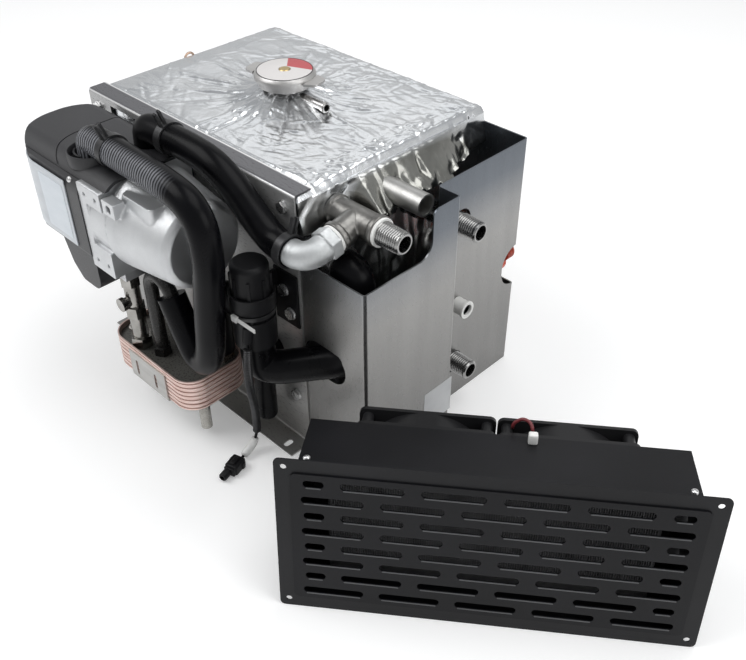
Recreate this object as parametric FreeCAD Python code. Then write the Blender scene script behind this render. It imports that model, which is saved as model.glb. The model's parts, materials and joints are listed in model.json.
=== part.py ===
import FreeCAD, Part
import math
import os
from FreeCAD import Placement, Rotation, Vector

# Diesel combi heater: a foil-wrapped water tank in a folded steel casing, a
# coolant burner with its pump and plate exchanger in front, and a warm-air unit.
# Millimetres. The origin is on the floor under the middle of the casing,
# +X towards the pipe connections, -Y towards the burner, +Z up.

X = Vector(1, 0, 0)
Y = Vector(0, 1, 0)
Z = Vector(0, 0, 1)

# Casing
casing_width = 398.0
casing_depth = 252.0
rail_height = 292.0
cover_drop = 18.0
sheet = 1.5
bend_radius = 2.0
rail_depth = 20.5
lip_depth = 26.0
lip_slot_width = 6.5
lip_slot_length = 11.0
lip_slot_inset = 16.0
pipe_bay_width = 81.0
cover_lap = 30.0
step_from_front = 123.0
step_depth = 25.0
window_drop = 46.0
window_depth = 87.0
window_round = 16.0
rail_slot_length = 44.0
rail_slot_height = 12.0
rail_slot_drop = 8.0
rail_slot_inset = 38.0
notch_height = 50.0
notch_depth = 23.0
notch_return = 34.0
notch_center_z = 128.0
bolt_head = 10.0
bolt_head_height = 4.0
bolt_washer = 1.0
rail_bolt_inset = 15.0
rail_bolt_drop = 16.0
foot_bolt_height = 60.0

# Tank, jacket and filler
jacket_thickness = 10.0
jacket_round = 3.0
vessel_wall = 1.5
vessel_round = 5.0
filler_offset_x = 5.0
neck_radius = 21.0
neck_wall = 1.6
neck_height = 35.0
neck_seat_height = 12.0
neck_lip_radius = 24.5
neck_lip_height = 2.5
spout_radius = 4.6
spout_height = 18.5
spout_reach = 60.0
cap_radius = 31.0
cap_wall = 1.5
cap_skirt_radius = 26.8
cap_skirt_height = 9.0
cap_plate_drop = 1.5
cap_crown_radius = 29.5
cap_crown_height = 5.0
cap_ear_reach = 43.0
cap_ear_width = 26.0
cap_ear_round = 6.0
cap_ear_thickness = 2.5
cap_ear_turn = 14.0
cap_running_gap = 0.4
valve_stem_radius = 3.0
stem_running_gap = 0.05
valve_disc_radius = 17.5
valve_disc_height = 3.0

# Water fittings, all with half-inch pipe threads left plain
pipe_radius = 10.45
pipe_bore = 7.5
socket_gap = 0.1
thread_relief = 0.4
socket_depth = 10.0
tee_body_radius = 13.0
tee_bead_radius = 14.5
tee_bead_length = 5.0
tee_reach = 28.0
tee_stand_off = 3.0
tee_from_front = 44.0
tee_drop = 29.0
tee_droop = 12.0
tape_length = 3.0
nipple_length = 25.0
nipple_hex = 27.0
nipple_hex_length = 9.0
elbow_leg = 31.0
elbow_hex = 27.0
elbow_hex_length = 11.0
elbow_bend = 15.0
elbow_barb = 12.0
barb_length = 16.0
stub_from_front = 100.0
stub_drop = 27.0
stub_radius = 11.0
stub_reach = 60.0
tank_drain_inset = 41.0
tank_drain_z = 108.0
drain_hose_radius = 11.0
drain_hose_bore = 7.5
drain_hose_length = 80.0
drain_hose_bend = 14.0
side_pipe_from_step = 33.0
cold_pipe_drop = 70.0
hot_pipe_z = 49.0
side_pipe_out = 23.0
side_hole_gap = 3.0
drain_z = 125.0
drain_radius = 8.5
drain_bore = 6.0
drain_out = 15.0
drain_collar_radius = 11.0
relief_from_back = 38.0
relief_z = 134.0
relief_reach = 34.0
relief_body_radius = 12.0
relief_body_length = 28.0
relief_outlet_length = 32.0
relief_stem_radius = 4.0
relief_knob_radius = 18.0
relief_knob_length = 15.0
relief_knob_flutes = 8

# Coolant heater, its axis along X
heater_from_front = 54.0
heater_axis_drop = 49.0
heater_half_width = 50.0
heater_drop = 4.0
heater_from_bay = 302.0
housing_length = 125.0
housing_height = 91.0
housing_wall = 2.5
housing_round = 24.0
housing_back_round = 14.0
housing_foot_round = 4.0
housing_end_front = 52.0
housing_end_back = 40.0
housing_seam_radius = 47.0
housing_seam_width = 1.4
housing_seam_depth = 0.8
hood_depth = 8.0
hood_wall = 3.0
hood_overhang = 3.0
data_cover_inset = 10.0
data_cover_gap = 21.0
data_cover_floor = 5.0
data_cover_height = 70.0
data_cover_depth = 1.2
burner_block_length = 36.0
block_face_inset = 1.0
bulge_radius = 49.0
bulge_length = 26.0
bulge_pocket = 5.0
block_hole_radius = 2.2
block_hole_depth = 7.0
burner_block_height = 98.0
jacket_large_radius = 51.0
jacket_small_radius = 42.0
jacket_length = 80.0
jacket_wall = 5.0
jacket_seat = 4.0
jacket_seam_inset = 11.0
jacket_seam_width = 3.0
jacket_seam_depth = 2.0
jacket_end_round = 6.0
jacket_pad_inset = 14.0
jacket_pad_length = 44.0
jacket_pad_width = 26.0
jacket_pad_height = 20.0
jacket_pad_offset = 22.0
jacket_pad_drop = 7.0
lug_length = 18.0
lug_depth = 12.0
lug_height = 14.0
lug_rise = 24.0
lug_hole_radius = 4.0
flame_tube_radius = 28.0
flame_tube_wall = 1.5
wheel_radius = 34.0
wheel_width = 14.0
wheel_blades = 11
motor_radius = 22.0
motor_length = 42.0
shaft_radius = 3.0
shaft_running_gap = 0.05
intake_width = 59.0
intake_inset = 7.0
intake_depth = 60.0
intake_height = 46.0
burner_foot_drop = 22.0
supply_port_inset = 20.0
supply_port_offset = -17.0
return_port_step = 0.5
return_port_offset = 31.0
port_rise = 1.0
port_well = 5.0
port_depth = 18.0
return_boss_radius = 16.0
collar_radius = 17.0
collar_height = 4.0
collar_opening = 6.0
heater_plate_thickness = 2.0
heater_plate_inset = 30.0
exhaust_radius = 11.0
exhaust_inset = 18.0
exhaust_offset = 26.0
exhaust_length = 26.0

# Hoses
hose_radius = 14.0
hose_bore = 10.0
hose_slip = 0.1
hose_port_from_front = 28.0
hose_port_drop = 70.0
hose_entry_offset = 25.0
hose_entry_drop = 25.0
supply_run_rise = 17.0
supply_run_inset = 22.0
supply_drop = 118.0
supply_bends = [17.0, 34.0, 22.0]
return_run_inset = 76.0
return_bends = [17.0, 60.0, 34.0]
hose_tail = 12.0
supply_clamp_inset = 35.0
return_clamp_inset = 30.5
clamp_width = 8.0
clamp_thickness = 1.6
clamp_tang_length = 14.0
clamp_tang = 2.4
clamp_lean = 20.0

# Plate heat exchanger under the burner
exchanger_length = 136.0
exchanger_width = 78.0
exchanger_lap = 35.0
exchanger_from_front = 87.0
exchanger_top = 84.0
exchanger_height = 39.0
exchanger_round = 22.0
exchanger_plates = 7
exchanger_rim = 6.0
exchanger_rim_wall = 1.6
end_plate = 2.0
plate_groove_depth = 1.4
plate_groove_width = 1.6
exchanger_port_inset_x = 22.0
exchanger_port_inset_y = 18.0
exchanger_spigot = 24.0
exchanger_nut = 24.0
exchanger_nut_height = 9.0
exchanger_leg_radius = 6.0
exchanger_leg_length = 36.0
strap_width = 62.0
strap_inset = 36.0
strap_thickness = 1.5
strap_bend = 0.4
strap_slot_length = 18.0
strap_slot_width = 4.0
strap_slot_inset = 12.0
strap_slot_pitch = 32.0
strap_slot_height = 15.0
strap_front_drop = 6.0
strap_back_rise = 26.0
swan_inset_x = 70.0
swan_inset_y = 21.0
swan_radius = 7.0
swan_bore = 5.5
swan_drop = 77.0
swan_bend = 18.0
swan_turn = 155.0
swan_tail = 18.0
union_inset_x = 40.0
union_inset_y = 14.0
union_hex = 20.0
union_nut_height = 13.0
union_body_radius = 8.0
union_stem = 14.0
union_bore = 6.0

# Circulation pump beside the exchanger, upright
pump_inset = 21.0
pump_from_front = 38.0
pump_drop = 142.0
pump_head_radius = 20.0
pump_head_height = 30.0
pump_head_wall = 3.0
pump_motor_radius = 17.5
pump_motor_height = 56.0
pump_port_length = 16.0
pump_outlet_length = 9.0
pump_hose_run = 1.48
pump_hose_drop = 36.0
pump_hose_bends = [22.0, 26.0, 24.0]
inlet_hose_bend = 24.0
impeller_radius = 14.0
impeller_height = 8.0
impeller_vanes = 6
pump_foot_width = 32.0
pump_foot_height = 58.0
pump_pad_inset = 13.0
pump_strap_width = 16.0
pump_strap_thickness = 2.0

# Lead with its plug lying on the floor
lead_radius = 1.5
sleeve_radius = 4.6
plug_length = 30.0
plug_width = 18.0
plug_height = 12.0
tie_width = 4.0
tie_thickness = 1.4
tie_tail = 24.0

# Warm-air unit, in its own frame: u along its face, v to the rear, w up
air_x = 382.0
air_y = -169.0
air_yaw = 37.25
flange_width = 350.0
flange_height = 160.0
flange_corner = 5.0
flange_hole_radius = 2.6
flange_hole_inset = 8.0
air_box_width = 320.0
air_box_height = 130.0
air_box_depth = 81.0
air_sheet = 1.2
flange_below = 11.0
grille_margin = 13.0
grille_side = 8.5
grille_edge = 9.25
grille_slot_gap = 13.0
grille_plate = 1.5
grille_rows = 8
grille_slot_height = 7.0
grille_slots = 5
short_slot_length = 17.0
fan_size = 120.0
fan_depth = 25.0
fan_pitch = 121.0
fan_corner = 6.0
fan_bore_radius = 57.5
fan_rim = 3.0
fan_hub_radius = 20.0
fan_blades = 7
fan_blade_pitch = 32.0
fan_tip_gap = 1.5
core_side_gap = 23.0
core_top_gap = 18.0
core_depth = 44.0
core_front_gap = 30.0
core_frame = 3.0
core_fin_pitch = 9.0
core_foot_inset = 2.0
core_foot = 4.0
coil_pipe_radius = 8.0
coil_pipe_bore = 6.6
coil_pipe_out = 22.0
coil_pipe_w = 40.0
screw_head_radius = 4.0
screw_head_height = 2.0
wire_radius = 1.5

# Reference planes that follow from the sizes above
left = -casing_width / 2
right = casing_width / 2
front = -casing_depth / 2
back = casing_depth / 2
tank_right = right - pipe_bay_width
cover_height = rail_height - cover_drop
window_sill = cover_height - window_drop
bay_right = right - step_depth
step_y = front + step_from_front
cover_front = front + sheet
inner_front = cover_front + sheet
tank_left = left + sheet
tank_back = back - sheet
tank_top = rail_height - sheet
vessel_top = tank_top - jacket_thickness
vessel_right = tank_right - jacket_thickness
filler_x = (tank_left + tank_right) / 2 + filler_offset_x
filler_y = 0.0
tee_y = front + tee_from_front
tee_z = rail_height - tee_drop
stub_y = front + stub_from_front
stub_z = rail_height - stub_drop
cold_pipe_z = rail_height - cold_pipe_drop
hose_port_z = rail_height - hose_port_drop
side_pipe_y = step_y + side_pipe_from_step
relief_y = back - relief_from_back
tank_drain_x = tank_right - tank_drain_inset
heater_axis_y = front - heater_from_front
heater_left = tank_right - heater_from_bay
heater_top = rail_height - heater_drop
heater_axis_z = heater_top - heater_axis_drop
housing_floor = heater_top - housing_height
hood_edge = heater_top - hood_depth
burner_block_floor = heater_top - burner_block_height
jacket_pad_top = heater_top - jacket_pad_drop
supply_run_z = heater_top + supply_run_rise
heater_front = heater_axis_y - heater_half_width
heater_back = heater_axis_y + heater_half_width
housing_right = heater_left + housing_length
block_right = housing_right + burner_block_length
supply_port_x = housing_right - supply_port_inset
supply_port_y = heater_axis_y + supply_port_offset
return_port_x = housing_right + return_port_step
return_port_y = heater_axis_y + return_port_offset
exchanger_left = housing_right - exchanger_lap
exchanger_right = exchanger_left + exchanger_length
exchanger_front = front - exchanger_from_front
exchanger_back = exchanger_front + exchanger_width
exchanger_floor = exchanger_top - exchanger_height
exchanger_deck = exchanger_top - exchanger_rim
swan_x = exchanger_right - swan_inset_x
swan_y = exchanger_front + swan_inset_y
swan_z = heater_axis_z - swan_drop
pump_x = tank_right - pump_inset
pump_y = front - pump_from_front
pump_floor = rail_height - pump_drop
tee_x = tank_right + tee_stand_off + tee_reach
elbow_drop = math.radians(tee_droop)
elbow_run = tee_reach + tape_length + elbow_leg
elbow_corner = Vector(
    tee_x,
    tee_y - elbow_run * math.cos(elbow_drop),
    tee_z - elbow_run * math.sin(elbow_drop),
)
hose_port = Vector(tank_right, front + hose_port_from_front, hose_port_z)
hose_entry = Vector(tank_right + hose_entry_offset, front, pump_floor - hose_entry_drop)
drain_stub_hole = drain_hose_bore + socket_gap
pump_port_y = exchanger_back - exchanger_port_inset_y
lip_slot_y = front - lip_depth / 2 - 3.0
air_floor = flange_below
air_top = air_floor + air_box_height
air_middle = (air_floor + air_top) / 2
fan_middle = air_top - fan_size / 2
grille_width = flange_width - 2 * grille_margin
grille_height = flange_height - 2 * grille_margin
grille_slot_pitch = (grille_width - 2 * grille_side + grille_slot_gap) / grille_slots
grille_slot_length = grille_slot_pitch - grille_slot_gap
grille_row_pitch = (grille_height - 2 * grille_edge) / (grille_rows - 1)
core_width = air_box_width - 2 * core_side_gap
core_height = air_box_height - 2 * core_top_gap
core_v = air_sheet + core_front_gap


# General helpers
def block(x0, x1, y0, y1, z0, z1):
    return Part.makeBox(x1 - x0, y1 - y0, z1 - z0, Vector(x0, y0, z0))


def rod(start, direction, length, radius):
    return Part.makeCylinder(radius, length, start, direction)


def tube(start, direction, length, radius, bore):
    return rod(start, direction, length, radius).cut(rod(start, direction, length, bore))


def hexagon(start, direction, length, across_flats):
    corner = across_flats / math.sqrt(3)
    turns = [math.radians(60 * k + 30) for k in range(7)]
    corners = [Vector(corner * math.cos(t), corner * math.sin(t), 0) for t in turns]
    prism = Part.Face(Part.makePolygon(corners)).extrude(Z * length)
    prism.Placement = Placement(start, Rotation(Z, direction))
    return prism


def rounded_outline(points, radii):
    edges = []
    count = len(points)
    ends = []
    for k, corner in enumerate(points):
        before = (points[k - 1] - corner).normalize()
        after = (points[(k + 1) % count] - corner).normalize()
        half = before.getAngle(after) / 2
        reach = radii[k] / math.tan(half)
        middle = (before + after).normalize() * (radii[k] / math.sin(half) - radii[k])
        ends.append((corner + before * reach, corner + middle, corner + after * reach))
    for k in range(count):
        start, mid, end = ends[k]
        if radii[k] > 0:
            edges.append(Part.Arc(start, mid, end).toShape())
        following = ends[(k + 1) % count][0]
        if (following - end).Length > 1e-6:
            edges.append(Part.LineSegment(end, following).toShape())
    return Part.Face(Part.Wire(edges))


def rounded_panel(width, height, radius, thickness):
    w, h = width / 2, height / 2
    corners = [Vector(-w, -h, 0), Vector(w, -h, 0), Vector(w, h, 0), Vector(-w, h, 0)]
    return rounded_outline(corners, [radius] * 4).extrude(Z * thickness)


def slot_prism(length, width, depth):
    return rounded_panel(length, width, width / 2 - 0.01, depth)


def folded_face(path, normal, thickness, radius):
    """Face of a sheet that follows path, with its thickness on the left and true bends."""
    count = len(path)
    sides = []
    for k in range(count - 1):
        sides.append(normal.cross(path[k + 1] - path[k]).normalize() * thickness)
    inner = [path[0] + sides[0]]
    radii_out, radii_in = [0], [0]
    for k in range(1, count - 1):
        ahead = (path[k + 1] - path[k]).normalize()
        behind = (path[k] - path[k - 1]).normalize()
        turns_left = normal.dot(behind.cross(ahead)) > 0
        inner.append(path[k] + sides[k - 1] + sides[k])
        radii_out.append(radius + thickness if turns_left else radius)
        radii_in.append(radius if turns_left else radius + thickness)
    inner.append(path[-1] + sides[-1])
    radii_out.append(0)
    radii_in.append(0)
    return rounded_outline(list(path) + inner[::-1], radii_out + radii_in[::-1])


def bent_path(points, radii):
    """Wire of straight runs joined by tangent arcs, and its length."""
    edges = []
    start = points[0]
    for k in range(1, len(points) - 1):
        before = (points[k - 1] - points[k]).normalize()
        after = (points[k + 1] - points[k]).normalize()
        half = before.getAngle(after) / 2
        reach = radii[k - 1] / math.tan(half)
        first, last = points[k] + before * reach, points[k] + after * reach
        inside = (before + after).normalize() * (radii[k - 1] / math.sin(half) - radii[k - 1])
        if (first - start).Length > 1e-6:
            edges.append(Part.LineSegment(start, first).toShape())
        edges.append(Part.Arc(first, points[k] + inside, last).toShape())
        start = last
    edges.append(Part.LineSegment(start, points[-1]).toShape())
    return Part.Wire(edges)


def swept(path, radius):
    first = path.Edges[0]
    start = first.valueAt(first.FirstParameter)
    direction = first.tangentAt(first.FirstParameter)
    ring = Part.Wire(Part.makeCircle(radius, start, direction))
    return path.makePipeShell([ring], True, False)


def hose(points, radii, radius, bore):
    path = bent_path(points, radii)
    return swept(path, radius).cut(swept(path, bore))


def cord_radii(points):
    """Each bend's radius: 0.45 of the shorter run over the tangent of half the turn."""
    radii = []
    for k in range(1, len(points) - 1):
        before, after = points[k] - points[k - 1], points[k + 1] - points[k]
        shorter = min(before.Length, after.Length)
        radii.append(0.45 * shorter / math.tan(before.getAngle(after) / 2))
    return radii


def union(shapes):
    return shapes[0].multiFuse(shapes[1:]).removeSplitter()


def turned_profile(points, base, direction):
    """Solid of revolution from (radius, height) points about a line through base."""
    outline = [Vector(r, 0, h) for r, h in points]
    face = Part.Face(Part.makePolygon(outline + outline[:1]))
    solid = face.revolve(Vector(0, 0, 0), Z, 360)
    solid.Placement = Placement(base, Rotation(Z, direction))
    return solid


pieces = {}


def keep(name, *solids):
    pieces[name] = solids[0] if len(solids) == 1 else Part.makeCompound(list(solids))


# Front chassis: rail over the tank, web, and floor lip with slotted feet
def front_chassis():
    path = [
        Vector(left, front + rail_depth, rail_height),
        Vector(left, front, rail_height),
        Vector(left, front, sheet),
        Vector(left, front - lip_depth, sheet),
    ]
    body = folded_face(path, X, sheet, bend_radius).extrude(X * (tank_right - left))
    cuts = [rod(Vector(tank_drain_x, front - sheet, tank_drain_z), Y, 4 * sheet, drain_stub_hole)]
    for x in (left + lip_slot_inset, tank_right - lip_slot_inset):
        slot = slot_prism(lip_slot_length, lip_slot_width, 4 * sheet)
        turn = Rotation(Z, 90)
        slot.Placement = Placement(Vector(x, lip_slot_y, -2 * sheet), turn)
        cuts.append(slot)
    slot_left = left + rail_slot_inset
    slot_top = rail_height - rail_slot_drop
    cuts.append(block(
        slot_left, slot_left + rail_slot_length,
        front - sheet, front + 2 * sheet,
        slot_top - rail_slot_height, slot_top,
    ))
    return body.cut(Part.makeCompound(cuts))


# Side cover: one folded sheet round the pipe bay and the back
def side_cover():
    path = [
        Vector(tank_right - cover_lap, cover_front, 0),
        Vector(right, cover_front, 0),
        Vector(right, step_y, 0),
        Vector(bay_right, step_y, 0),
        Vector(bay_right, back, 0),
        Vector(left, back, 0),
    ]
    body = folded_face(path, Z, sheet, bend_radius).extrude(Z * cover_height)
    window_end = front + window_depth
    low, high = window_sill, cover_height + 10
    window = rounded_outline(
        [
            Vector(0, front - 10, low), Vector(0, window_end, low),
            Vector(0, window_end, cover_height), Vector(0, window_end + 8, cover_height),
            Vector(0, window_end + 8, high), Vector(0, front - 10, high),
        ],
        [0, window_round, 7, 0, 0, 0],
    ).extrude(X * (right - tank_right + cover_lap + 20))
    window.translate(X * (tank_right - cover_lap - 10))
    oval = slot_prism(2 * hose_radius + 28, 2 * hose_radius + 9, 8 * sheet)
    oval.Placement = Placement(
        Vector(hose_entry.x + 2, front - 2 * sheet, hose_entry.z), Rotation(X, -90))
    cuts = [window, oval]
    for z in (cold_pipe_z, hot_pipe_z):
        cuts.append(rod(Vector(bay_right - 5, side_pipe_y, z), X, 10, pipe_radius + side_hole_gap))
    cuts.append(rod(Vector(bay_right - 5, side_pipe_y, drain_z), X, 10, drain_radius + socket_gap))
    notch = slot_prism(notch_height, 2 * notch_depth, notch_return + 10)
    notch.Placement = Placement(
        Vector(bay_right - notch_return, back, notch_center_z),
        Rotation(Y, 90))
    cuts.append(notch)
    return body.cut(Part.makeCompound(cuts))


# Base tray with its upturned left wall
def base_tray():
    y0, y1 = inner_front, back - sheet
    outline = [
        Vector(left, y0, 0), Vector(right - sheet, y0, 0),
        Vector(right - sheet, step_y - sheet, 0), Vector(bay_right - sheet, step_y - sheet, 0),
        Vector(bay_right - sheet, y1, 0), Vector(left, y1, 0),
    ]
    bend = bend_radius
    floor = rounded_outline(outline, [0, bend, bend, 0, bend, 0]).extrude(Z * sheet)
    wall = block(left, left + sheet, y0, y1, 0, cover_height)
    return union([floor, wall])


# Ports through the jacket and the vessel's right wall: y, z, outer radius and bore
def wall_ports():
    return [
        (tee_y, tee_z, pipe_radius, pipe_bore),
        (stub_y, stub_z, stub_radius, stub_radius - 2),
        (side_pipe_y, cold_pipe_z, pipe_radius, pipe_bore),
        (side_pipe_y, hot_pipe_z, pipe_radius, pipe_bore),
        (hose_port.y, hose_port.z, hose_bore - hose_slip, hose_bore - 2.5),
        (relief_y, relief_z, pipe_radius, pipe_bore),
    ]


# Steel tank with its welded ports
def tank_vessel():
    g = jacket_thickness
    outer = block(
        tank_left + g, vessel_right, inner_front + g, tank_back - g, sheet + g, vessel_top)
    outer = outer.makeFillet(vessel_round, outer.Edges)
    t = vessel_wall
    inner = block(
        tank_left + g + t, vessel_right - t, inner_front + g + t, tank_back - g - t,
        sheet + g + t, vessel_top - t)
    inner = inner.makeFillet(vessel_round - t, inner.Edges)
    shell = outer.cut(inner)
    joints, holes = [], []
    reach = {
        tee_z: jacket_thickness + tee_stand_off + socket_depth,
        stub_z: jacket_thickness + stub_reach,
        hose_port.z: jacket_thickness + barb_length + 4,
    }
    for y, z, radius, bore in wall_ports():
        start = Vector(vessel_right - t, y, z)
        holes.append(rod(start - X * 5, X, jacket_thickness + stub_reach + 20, bore))
        length = t + jacket_thickness
        if (y, z) in ((tee_y, tee_z), (stub_y, stub_z), (hose_port.y, hose_port.z)):
            length = t + reach[z]
        joints.append(rod(start, X, length, radius))
    neck_hole = rod(Vector(filler_x, filler_y, vessel_top - 10), Z, 20, neck_radius - neck_wall)
    stub_start = Vector(tank_drain_x, inner_front + g + t, tank_drain_z)
    stub_length = stub_start.y - front + 5
    joints.append(rod(stub_start, -Y, stub_length, drain_hose_bore - hose_slip))
    holes.append(rod(stub_start + Y * 5, -Y, stub_length + 10, drain_hose_bore - 2))
    return union([shell] + joints).cut(Part.makeCompound(holes + [neck_hole]))


# Foil-faced insulation round the tank
def foil_jacket():
    g = jacket_thickness
    outer = block(tank_left, tank_right, inner_front, tank_back, sheet, tank_top)
    upper = [e for e in outer.Edges if e.CenterOfMass.z > sheet + 1]
    outer = outer.makeFillet(jacket_round, upper)
    inner = block(
        tank_left + g, vessel_right, inner_front + g, tank_back - g, sheet + g, vessel_top)
    inner = inner.makeFillet(vessel_round, inner.Edges)
    holes = [rod(Vector(filler_x, filler_y, vessel_top - 1), Z, 20, neck_radius + socket_gap)]
    for y, z, radius, bore in wall_ports():
        holes.append(rod(Vector(vessel_right - 1, y, z), X, 20, radius + socket_gap))
    drain_start = Vector(tank_drain_x, inner_front - 5, tank_drain_z)
    holes.append(rod(drain_start, Y, jacket_thickness + 8, drain_hose_bore))
    return outer.cut(inner).cut(Part.makeCompound(holes))


# Filler neck with its seat, lip and overflow spout
def filler_neck():
    base = Vector(filler_x, filler_y, vessel_top)
    r, t, h = neck_radius, neck_wall, neck_height
    seat_z = neck_seat_height
    seat_r = valve_disc_radius - 3
    neck = turned_profile(
        [
            (r - t, 0), (r, 0), (r, h - neck_lip_height), (neck_lip_radius, h - neck_lip_height),
            (neck_lip_radius, h), (r - t, h), (r - t, seat_z), (seat_r, seat_z),
            (seat_r, seat_z - 2), (r - t, seat_z - 2),
        ],
        base, Z)
    spout_base = base + Z * spout_height
    spout = rod(spout_base + X * (r - t / 2), X, spout_reach - r, spout_radius)
    bead = rod(spout_base + X * (spout_reach - 5), X, 3, spout_radius + 0.8)
    hole = rod(spout_base + X * (r - t - 3), X, spout_reach, spout_radius - 1.2)
    return union([neck, spout, bead]).cut(hole)


# Cap shell with two grip ears, turning on the valve stem
def cap_shell():
    rest = vessel_top + neck_height + cap_running_gap
    base = Vector(filler_x, filler_y, rest)
    r, t = cap_radius, cap_wall
    drop = -cap_skirt_height
    crown = cap_crown_height
    hole = valve_stem_radius + stem_running_gap
    skirt, low = cap_skirt_radius, -cap_plate_drop
    shell = turned_profile(
        [
            (hole, 0), (skirt - t, 0), (skirt - t, drop), (skirt, drop), (skirt, low), (r, low), (r, t),
            (cap_crown_radius, crown - 1), (cap_crown_radius - 1, crown), (hole, crown),
        ],
        base, Z)
    half = cap_ear_width / 2
    reach = cap_ear_reach
    inner = r - t / 2
    ear_outline = rounded_outline(
        [
            Vector(inner, -half, 0), Vector(reach, -half * 0.7, 0),
            Vector(reach, half * 0.7, 0), Vector(inner, half, 0),
        ],
        [0, cap_ear_round, cap_ear_round, 0])
    ear = ear_outline.extrude(Z * cap_ear_thickness)
    ear.translate(Z * low)
    ears = []
    for turn in (cap_ear_turn, cap_ear_turn + 180):
        copy = ear.copy()
        copy.Placement = Placement(base, Rotation(Z, turn)).multiply(copy.Placement)
        ears.append(copy)
    return union([shell] + ears)


# Pressure valve: stem through the cap and sealing disc on the neck's seat
def cap_valve():
    seat = vessel_top + neck_seat_height + cap_running_gap
    rest = vessel_top + neck_height + cap_running_gap
    top = rest + cap_crown_height
    r = valve_stem_radius
    d, h = valve_disc_radius, valve_disc_height
    height = top - seat
    head = 1.2
    return turned_profile(
        [
            (0, 0), (d, 0), (d, h), (d - 6, h + 1), (r, h + 1),
            (r, height + socket_gap), (r + 3, height + socket_gap),
            (r + 2, height + head), (0, height + head),
        ],
        Vector(filler_x, filler_y, seat), Z)


# Cast tee on the tank's upper port, its branch drooping towards the burner
def tee_fitting():
    centre = Vector(tee_x, tee_y, tee_z)
    branch = Vector(0, -math.cos(elbow_drop), -math.sin(elbow_drop))
    outer, inner = [], []
    for direction in (X, -X, branch):
        outer.append(rod(centre, direction, tee_reach, tee_body_radius))
        bead = centre + direction * (tee_reach - tee_bead_length)
        outer.append(rod(bead, direction, tee_bead_length, tee_bead_radius))
        inner.append(rod(centre, direction, tee_reach + 1, pipe_bore + 1))
        socket = centre + direction * (tee_reach - socket_depth)
        inner.append(rod(socket, direction, socket_depth + 1, pipe_radius + socket_gap))
    outer.append(Part.makeSphere(tee_body_radius, centre))
    return union(outer).cut(union(inner))


# Hose elbow of zinced iron: threaded spigot, hex, bend and barb
def hose_elbow():
    centre = Vector(tee_x, tee_y, tee_z)
    branch = Vector(0, -math.cos(elbow_drop), -math.sin(elbow_drop))
    spigot = centre + branch * (tee_reach - socket_depth + 0.5)
    hex_start = centre + branch * (tee_reach + tape_length)
    bend_start = elbow_corner - branch * elbow_bend
    bend_end = elbow_corner - X * elbow_bend
    barb_end = bend_end - X * elbow_barb
    body = swept(bent_path([hex_start, elbow_corner, bend_end - X * 4], [elbow_bend]), 12.5)
    barb = rod(bend_end, -X, elbow_barb, hose_bore - hose_slip)
    spig = rod(spigot, branch, (hex_start - spigot).Length + 1, pipe_radius)
    nut = hexagon(hex_start, branch, elbow_hex_length, elbow_hex)
    hole = swept(bent_path([spigot - branch, elbow_corner, barb_end - X], [elbow_bend]), pipe_bore)
    return union([spig, nut, body, barb]).cut(hole)


# Threaded outlet nipple in the end of the tee
def outlet_nipple():
    start = Vector(tee_x + tee_reach - socket_depth + 0.5, tee_y, tee_z)
    inside = socket_depth - 0.5 + tape_length
    body = threaded_end(start, inside, nipple_length)
    return body.cut(rod(start - X, X, inside + nipple_length + 2, pipe_bore))


def threaded_end(start, inside, outside):
    """Pipe along X: a slimmer length hidden in its joint, then the free threaded end."""
    hidden = rod(start, X, inside + 1, pipe_radius - thread_relief)
    free = rod(start + X * inside, X, outside, pipe_radius)
    tip = [e for e in free.Edges if e.BoundBox.XMin > start.x + inside + outside - 0.1]
    return union([hidden, free.makeChamfer(1.2, tip)])


# White sealing tape at the tee's two outer joints
def thread_tape():
    centre = Vector(tee_x, tee_y, tee_z)
    branch = Vector(0, -math.cos(elbow_drop), -math.sin(elbow_drop))
    rings = []
    for direction in (X, branch):
        start = centre + direction * tee_reach
        rings.append(tube(start, direction, tape_length, tee_bead_radius - 1.2, pipe_radius + socket_gap))
    return rings


# Water nipples through the side plate
def side_nipples():
    made = []
    for z in (cold_pipe_z, hot_pipe_z):
        start = Vector(tank_right, side_pipe_y, z)
        inside = bay_right + 1 - tank_right
        body = threaded_end(start, inside, side_pipe_out)
        collar = hexagon(start, X, nipple_hex_length, nipple_hex)
        bore = rod(start - X, X, inside + side_pipe_out + 2, pipe_bore)
        made.append(union([body, collar]).cut(bore))
    return made


# White plastic drain outlet held in the side plate
def drain_outlet():
    start = Vector(bay_right, side_pipe_y, drain_z)
    pipe = rod(start - X * 20, X, 20 + drain_out, drain_radius)
    rim = rod(start + X * (drain_out - 3), X, 3, drain_radius + 1)
    collar = rod(start - X * (sheet + 3), X, 3, drain_collar_radius)
    return union([pipe, rim, collar]).cut(rod(start - X * 21, X, 40 + drain_out, drain_bore))


# Relief valve body on the tank, and its red test knob behind the notch
def relief_valve():
    corner = Vector(tank_right + relief_reach, relief_y, relief_z)
    inlet = rod(Vector(tank_right, relief_y, relief_z), X, relief_reach, pipe_radius)
    half = relief_body_length / 2
    barrel = rod(corner - Y * half, Y, relief_body_length, relief_body_radius)
    stem = rod(corner + Y * half, Y, relief_knob_length + 5, relief_stem_radius)
    outlet = rod(corner, -Z, relief_outlet_length, pipe_radius - 1)
    bonnet = hexagon(corner + Y * 6, Y, 8, 2 * relief_body_radius + 2)
    inlet_bore = rod(Vector(tank_right - 1, relief_y, relief_z), X, relief_reach, pipe_bore)
    outlet_bore = rod(corner - Z * 2 * relief_stem_radius, -Z, relief_outlet_length, pipe_bore - 1)
    return union([inlet, barrel, stem, outlet, bonnet]).cut(union([inlet_bore, outlet_bore]))


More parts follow.
